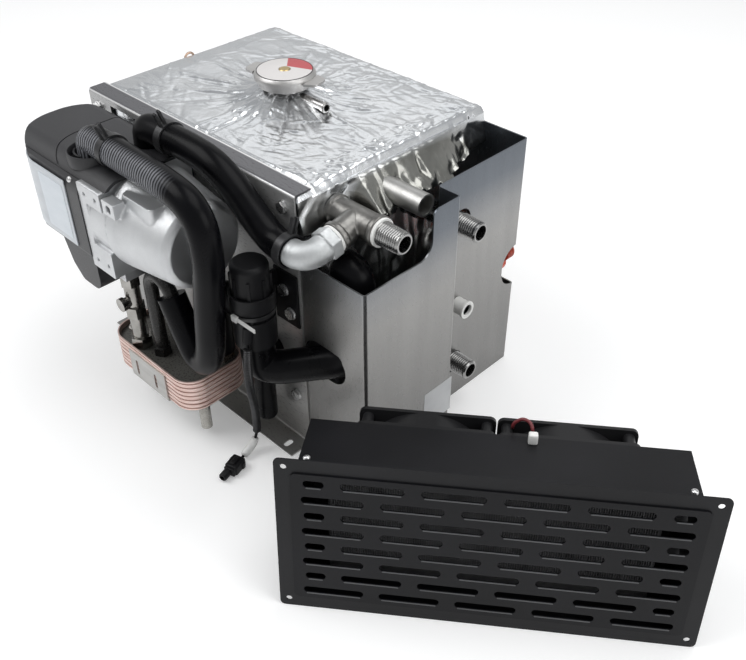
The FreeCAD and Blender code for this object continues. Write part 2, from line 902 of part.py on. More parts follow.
def relief_knob():
    start = Vector(tank_right + relief_reach, relief_y + relief_body_length / 2 + cap_running_gap, relief_z)
    body = rod(start, Y, relief_knob_length, relief_knob_radius)
    body = body.makeChamfer(2, [body.Edges[0], body.Edges[2]])
    cuts = [rod(start - Y, Y, relief_knob_length + 2, relief_stem_radius + shaft_running_gap)]
    for k in range(relief_knob_flutes):
        turn = math.radians(360 * k / relief_knob_flutes)
        offset = Vector(math.cos(turn), 0, math.sin(turn)) * (relief_knob_radius + 2)
        cuts.append(rod(start + offset - Y, Y, relief_knob_length + 2, 4))
    return body.cut(Part.makeCompound(cuts))


# Heater outline across its axis, rounded at the front top
def heater_section(x, inset, floor):
    y0, y1 = heater_front + inset, heater_back - inset
    z0, z1 = floor + inset, heater_top - inset
    corners = [Vector(x, y0, z0), Vector(x, y1, z0), Vector(x, y1, z1), Vector(x, y0, z1)]
    shrink = max(housing_round - inset, 1)
    foot = housing_foot_round
    return rounded_outline(corners, [foot, foot, housing_back_round - inset, shrink])


# Upright prism on the housing's plan, whose left end is round
def housing_plan(inset):
    x0, x1 = heater_left + inset, housing_right
    y0, y1 = heater_front + inset, heater_back - inset
    corners = [Vector(x0, y0, 0), Vector(x1, y0, 0), Vector(x1, y1, 0), Vector(x0, y1, 0)]
    radii = [housing_end_front - inset, 0, 0, housing_end_back - inset]
    return rounded_outline(corners, radii).extrude(Z * (heater_top + housing_height))


def housing_form(inset, length):
    """The housing's outside, or its form a wall thickness further in."""
    section = heater_section(heater_left + inset, inset, housing_floor)
    return section.extrude(X * length).common(housing_plan(inset))


# Black blower housing, its hood over the burner block and the supply port's collar
def blower_housing():
    outer = housing_form(0, housing_length)
    inner = housing_form(housing_wall, housing_length - 2 * housing_wall)
    hood_length = burner_block_length + hood_overhang
    hood = heater_section(housing_right - housing_wall, 0, housing_floor)
    hood = hood.extrude(X * (hood_length + housing_wall))
    hood = hood.common(block(
        housing_right - housing_wall, housing_right + hood_length,
        heater_front, heater_back, hood_edge, heater_top))
    hood = hood.cut(heater_section(housing_right, hood_wall, housing_floor).extrude(X * housing_length))
    port = Vector(supply_port_x, supply_port_y, heater_top)
    collar = rod(port - Z * port_depth, Z, port_depth + collar_height, collar_radius)
    collar = collar.cut(block(
        port.x + collar_opening, port.x + 2 * collar_radius,
        port.y - collar_radius, port.y + collar_radius,
        heater_top, heater_top + 2 * collar_height))
    stub = rod(port - Z * 2 * port_depth, Z, 3 * port_depth, hose_bore - hose_slip + socket_gap)
    well = rod(port - Z * port_well, Z, port_depth, hose_radius + 1.2)
    other = return_port()
    other_hole = rod(other - Z * port_depth, Z, 2 * port_depth, hose_radius + socket_gap)
    other_boss = rod(other - Z * (port_depth + socket_gap), Z, port_depth, return_boss_radius + socket_gap)
    other_boss = other_boss.common(inner_space())
    motor_end = Vector(housing_right - 2 * housing_wall, heater_axis_y, heater_axis_z)
    bore = rod(motor_end, X, 4 * housing_wall, motor_radius + 2)
    shell = union([outer.cut(inner), hood, collar]).cut(housing_seams())
    return shell.cut(Part.makeCompound([stub, well, bore])).cut(union([other_hole, other_boss]))


def return_port():
    return Vector(return_port_x, return_port_y, heater_top)


def inner_space():
    """Room under the housing's roof."""
    return block(
        heater_left, block_right, heater_front, heater_back, housing_floor, heater_top - hood_wall)


def housing_seams():
    """Shallow grooves: the top cover's lower edge, and a seam that curves round the supply port."""
    x0, x1 = heater_left - 1, housing_right
    skin = housing_form(0, housing_length).cut(housing_form(housing_seam_depth, housing_length))
    w, r = housing_seam_width, housing_seam_radius
    edge = block(x0, x1, heater_front - 1, heater_axis_y, hood_edge - w, hood_edge)
    centre = Vector(housing_right - motor_radius, heater_axis_y, hood_edge)
    height = heater_top - hood_edge + 1
    curve = tube(centre, Z, height, r, r - w).common(block(
        centre.x - r, centre.x, centre.y - 2 * r, centre.y, hood_edge, heater_top + 1))
    straight = block(centre.x - r, centre.x - r + w, centre.y, heater_back + 1, hood_edge, heater_top + 1)
    return union([skin.common(edge), skin.common(curve), skin.common(straight)])


# Data cover round the front of the blower housing, left bare
def data_cover():
    z0 = housing_floor + data_cover_floor
    band = housing_plan(-data_cover_depth).cut(housing_plan(0))
    return band.common(block(
        heater_left + data_cover_inset, housing_right - data_cover_gap,
        heater_front - 2 * data_cover_depth, heater_axis_y,
        z0, z0 + data_cover_height))


# Intake and connector housing under the blower
def intake_housing():
    x1 = housing_right - intake_inset
    x0 = x1 - intake_width
    y0 = heater_front + 6
    top = housing_floor
    low = top - intake_height
    outline = rounded_outline(
        [
            Vector(x0, y0, top), Vector(x0 + 12, y0, low + 14), Vector(x0 + 26, y0, low),
            Vector(x1, y0, low), Vector(x1, y0, top),
        ],
        [0, 10, 8, 12, 0])
    body = outline.extrude(Y * intake_depth)
    mouth = rod(Vector(x1 - 16, y0 + intake_depth / 2, low - 1), Z, 14, 11)
    return body.cut(mouth)


# Cast burner block under the housing's hood, its face bulged round the flame tube
def burner_block():
    y0, y1 = heater_front + block_face_inset, heater_back
    low = block(housing_right, block_right, y0, y1, burner_block_floor, hood_edge - socket_gap)
    under = hood_wall + socket_gap
    high = heater_section(housing_right, under, burner_block_floor).extrude(X * burner_block_length)
    high = high.common(block(
        housing_right, block_right, heater_front, heater_back, hood_edge - under, heater_top))
    axis = Vector(block_right, heater_axis_y, heater_axis_z)
    half = math.sqrt(bulge_radius ** 2 - (axis.y - y0 - bulge_pocket) ** 2)
    pocket = block(
        block_right - bulge_length, block_right, y0 - 1, y0 + bulge_pocket, axis.z - half, axis.z + half)
    bulge = rod(axis - X * bulge_length, X, bulge_length, bulge_radius).common(pocket)
    bore = flame_tube_radius + 4
    cuts = [rod(axis - X * (burner_block_length + 1), X, burner_block_length + 2 * jacket_length, bore)]
    for x in (block_right - bulge_length, block_right - bulge_length / 3):
        for z in (hood_edge - 2 * bulge_pocket, burner_block_floor + 2 * bulge_pocket):
            cuts.append(rod(Vector(x, y0 - 1, z), Y, block_hole_depth, block_hole_radius))
    u = union_foot()
    foot = block(
        u.x - 11, u.x + 13, u.y - 11, u.y + 13,
        burner_block_floor - burner_foot_drop, burner_block_floor + 1)
    top = return_port()
    boss = rod(top - Z * port_depth, Z, port_depth - port_well, return_boss_radius)
    cuts.append(rod(top - Z * (port_depth + 1), Z, 2 * port_depth, hose_bore - hose_slip + socket_gap))
    cuts.append(rod(top - Z * port_well, Z, port_depth, hose_radius + socket_gap))
    ring = tube(axis, X, jacket_seat, jacket_large_radius - jacket_seat, bore)
    ring = ring.cut(block(
        block_right, block_right + jacket_seat, heater_front, heater_back,
        heater_top - under, heater_top + under))
    body = union([low, high]).cut(pocket)
    return union([body, bulge, foot, ring, boss]).cut(Part.makeCompound(cuts))


# Water jacket: tapered casting with a port pad and a lug
def water_jacket():
    base = Vector(block_right + jacket_seat, heater_axis_y, heater_axis_z)
    length = jacket_length - jacket_seat
    r1, r2, t = jacket_large_radius, jacket_small_radius, jacket_wall
    slope = (r1 - r2) / length
    groove = jacket_seam_inset
    round_end = jacket_end_round
    outer = turned_profile(
        [
            (0, 0), (r1, 0), (r1 - slope * groove, groove),
            (r1 - jacket_seam_depth, groove + jacket_seam_width / 2),
            (r1 - slope * (groove + jacket_seam_width), groove + jacket_seam_width),
            (r2, length - round_end), (r2 - round_end * 0.4, length - round_end * 0.4),
            (r2 - round_end, length), (0, length),
        ],
        base, X)
    inner = turned_profile(
        [(0, -1), (r1 - t, -1), (r2 - t, length - t), (0, length - t)], base, X)
    pad = rounded_panel(jacket_pad_length, jacket_pad_width, 4, jacket_pad_height)
    pad.translate(Vector(
        block_right + jacket_pad_inset + jacket_pad_length / 2, heater_axis_y - jacket_pad_offset,
        jacket_pad_top - jacket_pad_height))
    lug_corner = Vector(base.x, heater_front + block_face_inset, base.z + lug_rise)
    lug = Part.makeBox(lug_length, lug_depth, lug_height, lug_corner)
    lug_middle = lug_corner + Vector(lug_length / 2, -lug_depth, lug_height / 2)
    lug_hole = rod(lug_middle, Y, 3 * lug_depth, lug_hole_radius)
    return union([outer, pad, lug]).cut(inner).cut(lug_hole)


# Flame tube inside the burner block and jacket
def flame_tube():
    start = Vector(housing_right + 8, heater_axis_y, heater_axis_z)
    length = burner_block_length + jacket_length - 26
    r, t = flame_tube_radius, flame_tube_wall
    flange = tube(start, X, 3, r + 4 - socket_gap, r - t)
    holes = []
    for row in range(3):
        for k in range(8):
            turn = math.radians(45 * k + 22.5 * row)
            out = Vector(0, math.cos(turn), math.sin(turn))
            place = start + X * (20 + 12 * row)
            holes.append(rod(place, out, r + 2, 3))
    return union([tube(start, X, length, r, r - t), flange]).cut(Part.makeCompound(holes))


# Combustion-air motor and its blower wheel inside the housing
def blower_motor():
    start = Vector(housing_right - motor_length, heater_axis_y, heater_axis_z)
    can = rod(start, X, motor_length + 4, motor_radius)
    can = can.makeChamfer(2, [can.Edges[2]])
    flange = rod(start + X * (motor_length - housing_wall - 4), X, 4, motor_radius + 6)
    shaft = rod(start - X * (wheel_width + 10), X, wheel_width + 11, shaft_radius)
    return union([can, flange, shaft])


def blower_wheel():
    gap = 4.0
    back_x = housing_right - motor_length - gap
    axis = Vector(back_x, heater_axis_y, heater_axis_z)
    disc = rod(axis - X * 2, X, 2, wheel_radius)
    hub = rod(axis - X * wheel_width, X, wheel_width, shaft_radius + 5)
    blades = []
    for k in range(wheel_blades):
        blade = block(0, wheel_width, shaft_radius + 8, wheel_radius, -0.9, 0.9)
        blade.translate(X * -wheel_width)
        blade.rotate(Vector(0, shaft_radius + 8, 0), X, 24)
        blade.rotate(Vector(0, 0, 0), X, 360 * k / wheel_blades)
        blade.translate(axis)
        blades.append(blade)
    bore = rod(axis - X * (wheel_width + 1), X, wheel_width + 2, shaft_radius + shaft_running_gap)
    limit = rod(axis - X * wheel_width, X, wheel_width, wheel_radius)
    return union([disc, hub] + blades).common(limit).cut(bore)


# Two aluminium water ports on top of the heater
def water_ports():
    made = []
    r = hose_bore - hose_slip
    low = heater_top - port_depth
    for x, y in ((supply_port_x, supply_port_y), (return_port_x, return_port_y)):
        made.append(tube(Vector(x, y, low), Z, port_depth + port_rise, r, r - 2.2))
    return made


# Exhaust stub under the burner block
def exhaust_stub():
    top = Vector(housing_right + exhaust_inset, heater_axis_y + exhaust_offset, burner_block_floor)
    pipe = rod(top, -Z, exhaust_length, exhaust_radius)
    rim = rod(top - Z * (exhaust_length - 3), -Z, 3, exhaust_radius + 1.2)
    flange = rod(top, -Z, 4, exhaust_radius + 5)
    return union([pipe, rim, flange]).cut(rod(top - Z, -Z, exhaust_length + 2, exhaust_radius - 1.5))


# Mounting plate between the heater and the web
def heater_plate():
    x0, x1 = heater_left + heater_plate_inset, block_right - 4
    z0, z1 = housing_floor + 6, heater_top - 22
    plate = block(x0, x1, front - heater_plate_thickness, front, z0, z1)
    posts = []
    for x in (x0 + 14, x1 - 14):
        for z in (z0 + 12, z1 - 12):
            start = Vector(x, heater_back, z)
            posts.append(rod(start, Y, front - heater_plate_thickness - heater_back + 0.5, 7))
    return union([plate] + posts)


# Coolant hoses with their bores
def supply_points():
    tip = swan_tip()
    low = tip + swan_tail_way() * supply_drop
    return [
        Vector(supply_port_x, supply_port_y, heater_top - port_well),
        Vector(supply_port_x, supply_port_y, supply_run_z),
        Vector(tank_right - supply_run_inset, supply_port_y - 3, supply_run_z - 1),
        low,
        tip + swan_tail_way() * 2,
    ]


def supply_hose():
    return hose(supply_points(), supply_bends, hose_radius, hose_bore)


def return_points():
    end = elbow_corner - X * elbow_bend
    return [
        Vector(return_port_x, return_port_y, heater_top - port_well),
        Vector(return_port_x, return_port_y, supply_run_z),
        Vector(tank_right - return_run_inset, (return_port_y + end.y) / 2, supply_run_z - 1),
        end - X * (elbow_barb + hose_tail),
        end - X * 4,
    ]


def return_hose():
    return hose(return_points(), return_bends, hose_radius, hose_bore)


def pump_hose_points():
    low = Vector(pump_x, pump_y, pump_floor - pump_hose_drop)
    inside = low + (hose_entry - low) * pump_hose_run
    return [
        Vector(pump_x, pump_y, pump_floor),
        low,
        inside,
        Vector(inside.x, hose_port.y, hose_port.z),
        Vector(tank_right, hose_port.y, hose_port.z),
    ]


def pump_hose():
    return hose(pump_hose_points(), pump_hose_bends, hose_radius, hose_bore)


# Short hose from the exchanger's rear port up to the pump's inlet
def exchanger_port():
    return Vector(
        exchanger_right - exchanger_port_inset_x,
        exchanger_back - exchanger_port_inset_y,
        exchanger_deck)


def inlet_hose():
    port_z = pump_floor + pump_head_height / 2
    foot = exchanger_port() + Z * exchanger_nut_height
    points = [
        Vector(pump_x - pump_head_radius - 1, pump_port_y, port_z),
        Vector(foot.x, foot.y, port_z),
        foot,
    ]
    return hose(points, [inlet_hose_bend], hose_radius, hose_bore)


# Drain hose with a closed end, hanging from the tank's front port
def drain_hose():
    y = front - drain_hose_bend - 6
    points = [
        Vector(tank_drain_x, front, tank_drain_z),
        Vector(tank_drain_x, y, tank_drain_z),
        Vector(tank_drain_x, y, tank_drain_z - drain_hose_length),
    ]
    outer = swept(bent_path(points, [drain_hose_bend]), drain_hose_radius)
    low = [e for e in outer.Edges if e.BoundBox.ZMax < points[2].z + 0.1]
    outer = outer.makeFillet(5, low)
    points[2] = points[2] + Z * 8
    return outer.cut(swept(bent_path(points, [drain_hose_bend]), drain_hose_bore))


# Spring clamps with tangs on the two upper hoses, and a band on the inner hose
def spring_clamp(centre, along, lean):
    inner = hose_radius + hose_slip
    outer = inner + clamp_thickness
    ring = tube(centre, along, clamp_width, outer, inner)
    turn = Rotation(along, lean).multiply(Rotation(X, along))
    tangs = []
    for side in (-1, 1):
        tang = block(
            0, clamp_width * 0.45, -clamp_tang / 2, clamp_tang / 2, outer - 1, outer + clamp_tang_length)
        tang.translate(Vector(clamp_width * 0.275, side * clamp_tang, 0))
        tang.Placement = Placement(centre, turn).multiply(tang.Placement)
        tangs.append(tang)
    return union([ring] + tangs)


def hose_clamps():
    made = []
    for inset, points in ((supply_clamp_inset, supply_points()), (return_clamp_inset, return_points())):
        along = (points[2] - points[1]).normalize()
        made.append(spring_clamp(points[1] + along * inset, along, clamp_lean))
    made.append(spring_clamp(return_points()[-1] - X * clamp_width, X, -clamp_lean))
    outer = hose_radius + hose_slip + clamp_thickness
    start = hose_port + X * (barb_length - clamp_width / 2)
    band = tube(start, X, clamp_width, outer, hose_radius + hose_slip)
    screw_start = start + Vector(clamp_width / 2, -clamp_width, outer + clamp_thickness)
    screw = rod(screw_start, Y, 2 * clamp_width, clamp_width * 0.4)
    made.append(union([band, screw]))
    return made


# Brazed plate pack with grooved edges
def exchanger_outline(inset, z):
    x0, x1 = exchanger_left + inset, exchanger_right - inset
    y0, y1 = exchanger_front + inset, exchanger_back - inset
    corners = [Vector(x0, y0, z), Vector(x1, y0, z), Vector(x1, y1, z), Vector(x0, y1, z)]
    return rounded_outline(corners, [exchanger_round - inset] * 4)


def exchanger_pack():
    low, high = exchanger_floor + end_plate, exchanger_top
    pack = exchanger_outline(0, low).extrude(Z * (high - low))
    pitch = (high - low) / exchanger_plates
    grooves = []
    for k in range(exchanger_plates):
        z = low + pitch * (k + 0.5) - plate_groove_width / 2
        band = exchanger_outline(-5, z).extrude(Z * plate_groove_width)
        grooves.append(band.cut(exchanger_outline(plate_groove_depth, z).extrude(Z * plate_groove_width)))
    recess = exchanger_outline(exchanger_rim_wall, exchanger_deck - end_plate)
    return pack.cut(Part.makeCompound(grooves)).cut(recess.extrude(Z * exchanger_height))


def exchanger_ends():
    made = []
    for z in (exchanger_floor, exchanger_deck - end_plate):
        made.append(exchanger_outline(exchanger_rim_wall, z).extrude(Z * end_plate))
    return made


# Exchanger fittings: a hose spigot at the right rear and a leg below
def exchanger_fittings():
    port = exchanger_port()
    nut = hexagon(port, Z, exchanger_nut_height, exchanger_nut)
    spigot = rod(port, Z, exchanger_spigot, hose_bore - hose_slip)
    bore = rod(port - Z, Z, exchanger_spigot + 2, hose_bore - 3)
    foot_y = exchanger_front + exchanger_port_inset_y + 6
    leg = tube(
        Vector(port.x + 8, foot_y, exchanger_floor), -Z, exchanger_leg_length,
        exchanger_leg_radius, exchanger_leg_radius - 1.2)
    return [union([nut, spigot]).cut(bore), leg]


# Steel strap that carries the exchanger from the web
def exchanger_strap():
    x0 = exchanger_left + strap_inset
    t = strap_thickness
    y0 = exchanger_front - t
    low = exchanger_floor - t
    path = [
        Vector(x0, y0, exchanger_top - strap_front_drop),
        Vector(x0, y0, low),
        Vector(x0, front, low),
        Vector(x0, front, exchanger_top + strap_back_rise),
    ]
    strap = folded_face(path, X, t, strap_bend).extrude(X * strap_width)
    cuts = []
    for x in (x0 + strap_slot_inset, x0 + strap_slot_inset + strap_slot_pitch):
        slot = slot_prism(strap_slot_length, strap_slot_width, 8 * t)
        turn = Rotation(X, -90).multiply(Rotation(Z, 90))
        slot.Placement = Placement(Vector(x, y0 - 2 * t, exchanger_floor + strap_slot_height), turn)
        cuts.append(slot)
    return strap.cut(Part.makeCompound(cuts))


# Swan-neck pipe from the exchanger to the supply hose
def swan_centre():
    return Vector(swan_x + swan_bend, swan_y, swan_z)


def swan_tip():
    turn = math.radians(180 - swan_turn)
    return swan_centre() + Vector(math.cos(turn), 0, math.sin(turn)) * swan_bend


def swan_tail_way():
    turn = math.radians(180 - swan_turn)
    return Vector(math.sin(turn), 0, -math.cos(turn))


def swan_neck():
    start = Vector(swan_x, swan_y, exchanger_deck)
    rise = Vector(swan_x, swan_y, swan_z)
    middle = math.radians(180 - swan_turn / 2)
    mid = swan_centre() + Vector(math.cos(middle), 0, math.sin(middle)) * swan_bend
    end = swan_tip()
    tail = swan_tail_way()
    edges = [
        Part.LineSegment(start, rise).toShape(),
        Part.Arc(rise, mid, end).toShape(),
        Part.LineSegment(end, end + tail * swan_tail).toShape(),
    ]
    path = Part.Wire(edges)
    pipe = swept(path, swan_radius)
    nut = hexagon(start, Z, 10, 17)
    barb = rod(end + tail * 2, tail, swan_tail - 2, hose_bore - hose_slip)
    return union([pipe, nut, barb]).cut(swept(path, swan_bore))


# Isolating union between the exchanger and the burner block
def union_foot():
    return Vector(
        exchanger_left + union_inset_x,
        exchanger_front + union_inset_y,
        exchanger_deck)


def isolating_union():
    foot = union_foot()
    height = burner_block_floor - burner_foot_drop - exchanger_deck
    h = union_nut_height
    bleed = foot + Z * (height / 2 + h)
    stack = [
        hexagon(foot, Z, h, union_hex),
        rod(foot + Z * h, Z, height - 2 * h, union_body_radius),
        hexagon(foot + Z * (height - h), Z, h, union_hex - 2),
        hexagon(foot + Z * (height / 2 - h / 2), Z, h, union_hex - 1),
        rod(bleed, -Y, union_stem, union_body_radius * 0.7),
        rod(bleed - Y * (union_stem * 0.8), -Y, union_stem / 3, union_body_radius * 0.9),
        rod(foot + Z * (h + 3), -X, union_stem, union_body_radius * 0.6),
    ]
    return union(stack).cut(rod(foot - Z, Z, height + 2, union_bore))


# Circulation pump: head, motor can, side port and impeller
def pump_body():
    base = Vector(pump_x, pump_y, pump_floor)
    r, h, t = pump_head_radius, pump_head_height, pump_head_wall
    head = rod(base, Z, h, r)
    motor = rod(base + Z * h, Z, pump_motor_height, pump_motor_radius)
    motor = motor.makeFillet(5, [motor.Edges[0]])
    ribs = []
    for k in range(8):
        rib = block(pump_motor_radius - 1, pump_motor_radius + 1.6, -1.2, 1.2, 0, pump_motor_height - 12)
        rib.rotate(Vector(0, 0, 0), Z, 45 * k)
        rib.translate(base + Z * h)
        ribs.append(rib)
    port_z = pump_floor + h / 2
    port = Vector(pump_x, pump_port_y, port_z)
    inlet = rod(port, -X, r + pump_port_length, hose_bore - hose_slip)
    outlet = rod(base, -Z, pump_outlet_length, hose_bore - hose_slip)
    chamber = rod(base + Z * t, Z, h - 2 * t, r - t)
    inlet_cut = rod(port - X * (r - t - 4), -X, pump_port_length + 20, hose_bore - 3)
    outlet_cut = rod(base + Z * (t + 1), -Z, pump_outlet_length + 10, hose_bore - 3)
    shaft = rod(base + Z * (h - t - 14), Z, 16, shaft_radius)
    body = union([head, motor, inlet, outlet] + ribs)
    return union([body.cut(chamber).cut(inlet_cut).cut(outlet_cut), shaft])


def pump_impeller():
    base = Vector(pump_x, pump_y, pump_floor + pump_head_height - pump_head_wall - 14)
    disc = rod(base + Z * (impeller_height - 2), Z, 2, impeller_radius)
    hub = rod(base, Z, impeller_height, shaft_radius + 3)
    vanes = []
    for k in range(impeller_vanes):
        vane = block(shaft_radius + 5, impeller_radius, -1, 1, 0, impeller_height)
        vane.rotate(Vector(shaft_radius + 5, 0, 0), Z, -28)
        vane.rotate(Vector(0, 0, 0), Z, 360 * k / impeller_vanes)
        vane.translate(base)
        vanes.append(vane)
    limit = rod(base, Z, impeller_height, impeller_radius)
    bore = rod(base - Z, Z, impeller_height + 2, shaft_radius + shaft_running_gap)
    return union([disc, hub] + vanes).common(limit).cut(bore)


# Pump strap to the web, with a foot plate for two bolts
def pump_strap():
    z0 = pump_floor + pump_head_height + 10
    t = pump_strap_thickness
    base = Vector(pump_x, pump_y, z0)
    inner = pump_motor_radius + 1.6 + socket_gap
    ring = tube(base, Z, pump_strap_width, inner + t, inner)
    arm = block(
        pump_x - 11, pump_x - 7, pump_y + inner - 2, front, z0, z0 + pump_strap_width)
    arm = arm.cut(rod(base - Z, Z, pump_strap_width + 2, inner))
    pad = block(
        pump_x - pump_pad_inset, pump_x - pump_pad_inset + pump_foot_width, front - t, front,
        pump_floor, pump_floor + pump_foot_height)
    return union([ring, arm, pad])


# Cable tie round the pump's motor, with its tail
def cable_tie():
    z0 = pump_floor + pump_head_height + 4
    inner = pump_motor_radius + 1.6 + socket_gap
    outer = inner + tie_thickness
    ring = tube(Vector(pump_x, pump_y, z0), Z, tie_width, outer, inner)
    head = block(
        pump_x - 2, pump_x + 5, pump_y - outer - 3.5, pump_y - outer + 1, z0 - 1, z0 + tie_width + 1)
    tail = block(
        pump_x + 5, pump_x + 5 + tie_tail, pump_y - outer - 2.2, pump_y - outer - 1,
        z0, z0 + tie_width)
    return union([ring, head, tail])


# Pump lead: gland on the pump head, free lead and plug on the floor
def lead_points():
    """Way of the lead: offsets from the pump's axis, and shares of the pump's height over the floor."""
    h = pump_floor
    way = [
        (13, -20, h + 13), (16, -25, h - 4), (15, -25, 0.8 * h), (10, -20, 0.64 * h), (3, -13, 0.48 * h),
        (-3, -9, 0.3467 * h), (-7, -6, 0.24 * h), (-10, -7, 0.1333 * h),
        (-11.8, -11, 11.5), (-12.2, -18.5, 6.6), (-9, -29, 5),
    ]
    return [Vector(pump_x + dx, pump_y + dy, z) for dx, dy, z in way]


def floor_lead():
    points = lead_points()
    radii = cord_radii(points)
    print("lead bend radii", [round(r, 1) for r in radii])
    path = bent_path(points, radii)
    solid = swept(path, lead_radius)
    share = solid.Volume / (math.pi * lead_radius ** 2 * path.Length)
    print("lead length", round(path.Length, 1), "volume share", round(share, 4))
    return solid


def lead_gland():
    first = lead_points()[0]
    direction = (lead_points()[1] - first).normalize()
    boss = rod(first, -direction, 14, sleeve_radius)
    head = rod(Vector(pump_x, pump_y, pump_floor), Z, pump_head_height + 20, pump_head_radius)
    return boss.cut(head)


def lead_plug():
    last = lead_points()[-1]
    along = (last - lead_points()[-2])
    along = Vector(along.x, along.y, 0).normalize()
    shell = rounded_panel(plug_length, plug_width, 2, plug_height)
    nose = rounded_panel(14, plug_width * 0.5, 1.5, plug_height * 0.7)
    nose.translate(Vector(plug_length / 2 + 6.5, -plug_width * 0.2, 0))
    latch = block(-6, 8, -3, 3, plug_height - 0.5, plug_height + 2.5)
    body = union([shell, nose, latch])
    body.Placement = Placement(
        Vector(last.x, last.y, 0) + along * (plug_length / 2), Rotation(X, along))
    return body


# Bolts on the web and rail, one node
def casing_bolts():
    made = []
    pad = pump_strap_thickness
    top, low = rail_height - rail_bolt_drop, foot_bolt_height
    inset = rail_bolt_inset
    pad_x = pump_x - pump_pad_inset + pump_foot_width
    places = [
        (tank_right - inset, top, 0), (left + inset, top, 0),
        (tank_right - inset, low, 0), (left + inset, low, 0),
        (pad_x - bolt_head * 1.8, pump_floor + pump_foot_height * 0.64, pad),
        (pad_x - bolt_head, pump_floor + pump_foot_height * 0.24, pad),
    ]
    for x, z, out in places:
        start = Vector(x, front - out, z)
        head = hexagon(start, -Y, bolt_head_height, bolt_head)
        washer = rod(start, -Y, bolt_washer, bolt_head * 0.62)
        made.append(union([head, washer]))
    return made


# Warm-air unit: pieces in its own frame, then placed leaning on the floor
def air_place(shape):
    lean = math.atan(flange_below / (air_box_depth - air_sheet))
    lift = air_sheet * math.sin(lean)
    turn = Rotation(Z, air_yaw).multiply(Rotation(X, -math.degrees(lean)))
    moved = shape.copy()
    moved.Placement = Placement(Vector(air_x, air_y, lift), turn).multiply(moved.Placement)
    return moved


def upright_panel(width, height, radius, v0, v1, middle):
    panel = rounded_panel(width, height, radius, v1 - v0)
    panel.Placement = Placement(Vector(0, v1, middle), Rotation(X, 90))
    return panel


def air_housing():
    w, h, d, t = air_box_width, air_box_height, air_box_depth, air_sheet
    flange = upright_panel(flange_width, flange_height, flange_corner, 0, t, flange_height / 2)
    outer = block(-w / 2, w / 2, 0, d, air_floor, air_floor + h)
    inner = block(-w / 2 + t, w / 2 - t, -1, d - t, air_floor + t, air_floor + h - t)
    cuts = [inner]
    for u in (-fan_pitch / 2, fan_pitch / 2):
        cuts.append(rod(Vector(u, d - 5, fan_middle), Y, 10, fan_bore_radius))
    for w_pipe in (air_middle - coil_pipe_w / 2, air_middle + coil_pipe_w / 2):
        cuts.append(rod(
            Vector(w / 2 - 5, core_v + core_depth / 2, w_pipe), X, 10, coil_pipe_radius + 1))
    edge_u = flange_width / 2 - flange_hole_inset
    for u in (-edge_u, edge_u):
        for z in (flange_hole_inset, flange_height - flange_hole_inset):
            cuts.append(rod(Vector(u, -5, z), Y, 10, flange_hole_radius))
    return union([outer, flange]).cut(Part.makeCompound(cuts))


def front_grille():
    plate = upright_panel(
        grille_width, grille_height, flange_corner, -grille_plate, 0, flange_height / 2)
    cuts = []
    middle_row = (grille_rows - 1) / 2
    for row in range(grille_rows):
        z = flange_height / 2 + (middle_row - row) * grille_row_pitch
        slots = []
        if row % 2:
            first = -(grille_slots - 1) / 2
            slots = [((first + k) * grille_slot_pitch, grille_slot_length) for k in range(grille_slots)]
        else:
            first = -(grille_slots - 2) / 2
            slots = [((first + k) * grille_slot_pitch, grille_slot_length) for k in range(grille_slots - 1)]
            side = grille_slots / 2 * grille_slot_pitch - grille_slot_length / 2 + short_slot_length / 2
            slots += [(-side, short_slot_length), (side, short_slot_length)]
        for u, length in slots:
            slot = slot_prism(length, grille_slot_height, 10)
            slot.Placement = Placement(Vector(u, 5, z), Rotation(X, 90))
            cuts.append(slot)
    return plate.cut(Part.makeCompound(cuts))


# Finned water coil with its two pipe ends
def air_coil():
    w, h = core_width / 2, core_height / 2
    body = block(-w, w, core_v, core_v + core_depth, air_middle - h, air_middle + h)
    grooves = []
    count = int(2 * w / core_fin_pitch) - 1
    for k in range(count):
        u = (k - (count - 1) / 2) * core_fin_pitch
        grooves.append(block(
            u - core_fin_pitch / 4, u + core_fin_pitch / 4,
            core_v - 1, core_v + core_depth + 1, air_middle - h + core_frame, air_middle + h - core_frame))
    body = body.cut(Part.makeCompound(grooves))
    reach = air_box_width / 2 + coil_pipe_out - w
    pipes, bores = [], []
    for z in (air_middle - coil_pipe_w / 2, air_middle + coil_pipe_w / 2):
        start = Vector(w, core_v + core_depth / 2, z)
        inside = air_box_width / 2 + 0.5 - w
        pipes.append(rod(start, X, inside + 1, coil_pipe_radius - thread_relief))
        pipes.append(rod(start + X * inside, X, reach - inside, coil_pipe_radius))
        bores.append(rod(start - X * 10, X, reach + 12, coil_pipe_bore))
    feet = []
    for z0, z1 in (
        (air_floor + air_sheet, air_middle - h), (air_middle + h, air_top - air_sheet),
    ):
        foot_v = core_v + core_foot_inset
        feet.append(block(-w, w, foot_v, foot_v + core_foot, z0, z1))
    return union([body] + pipes + feet).cut(Part.makeCompound(bores))


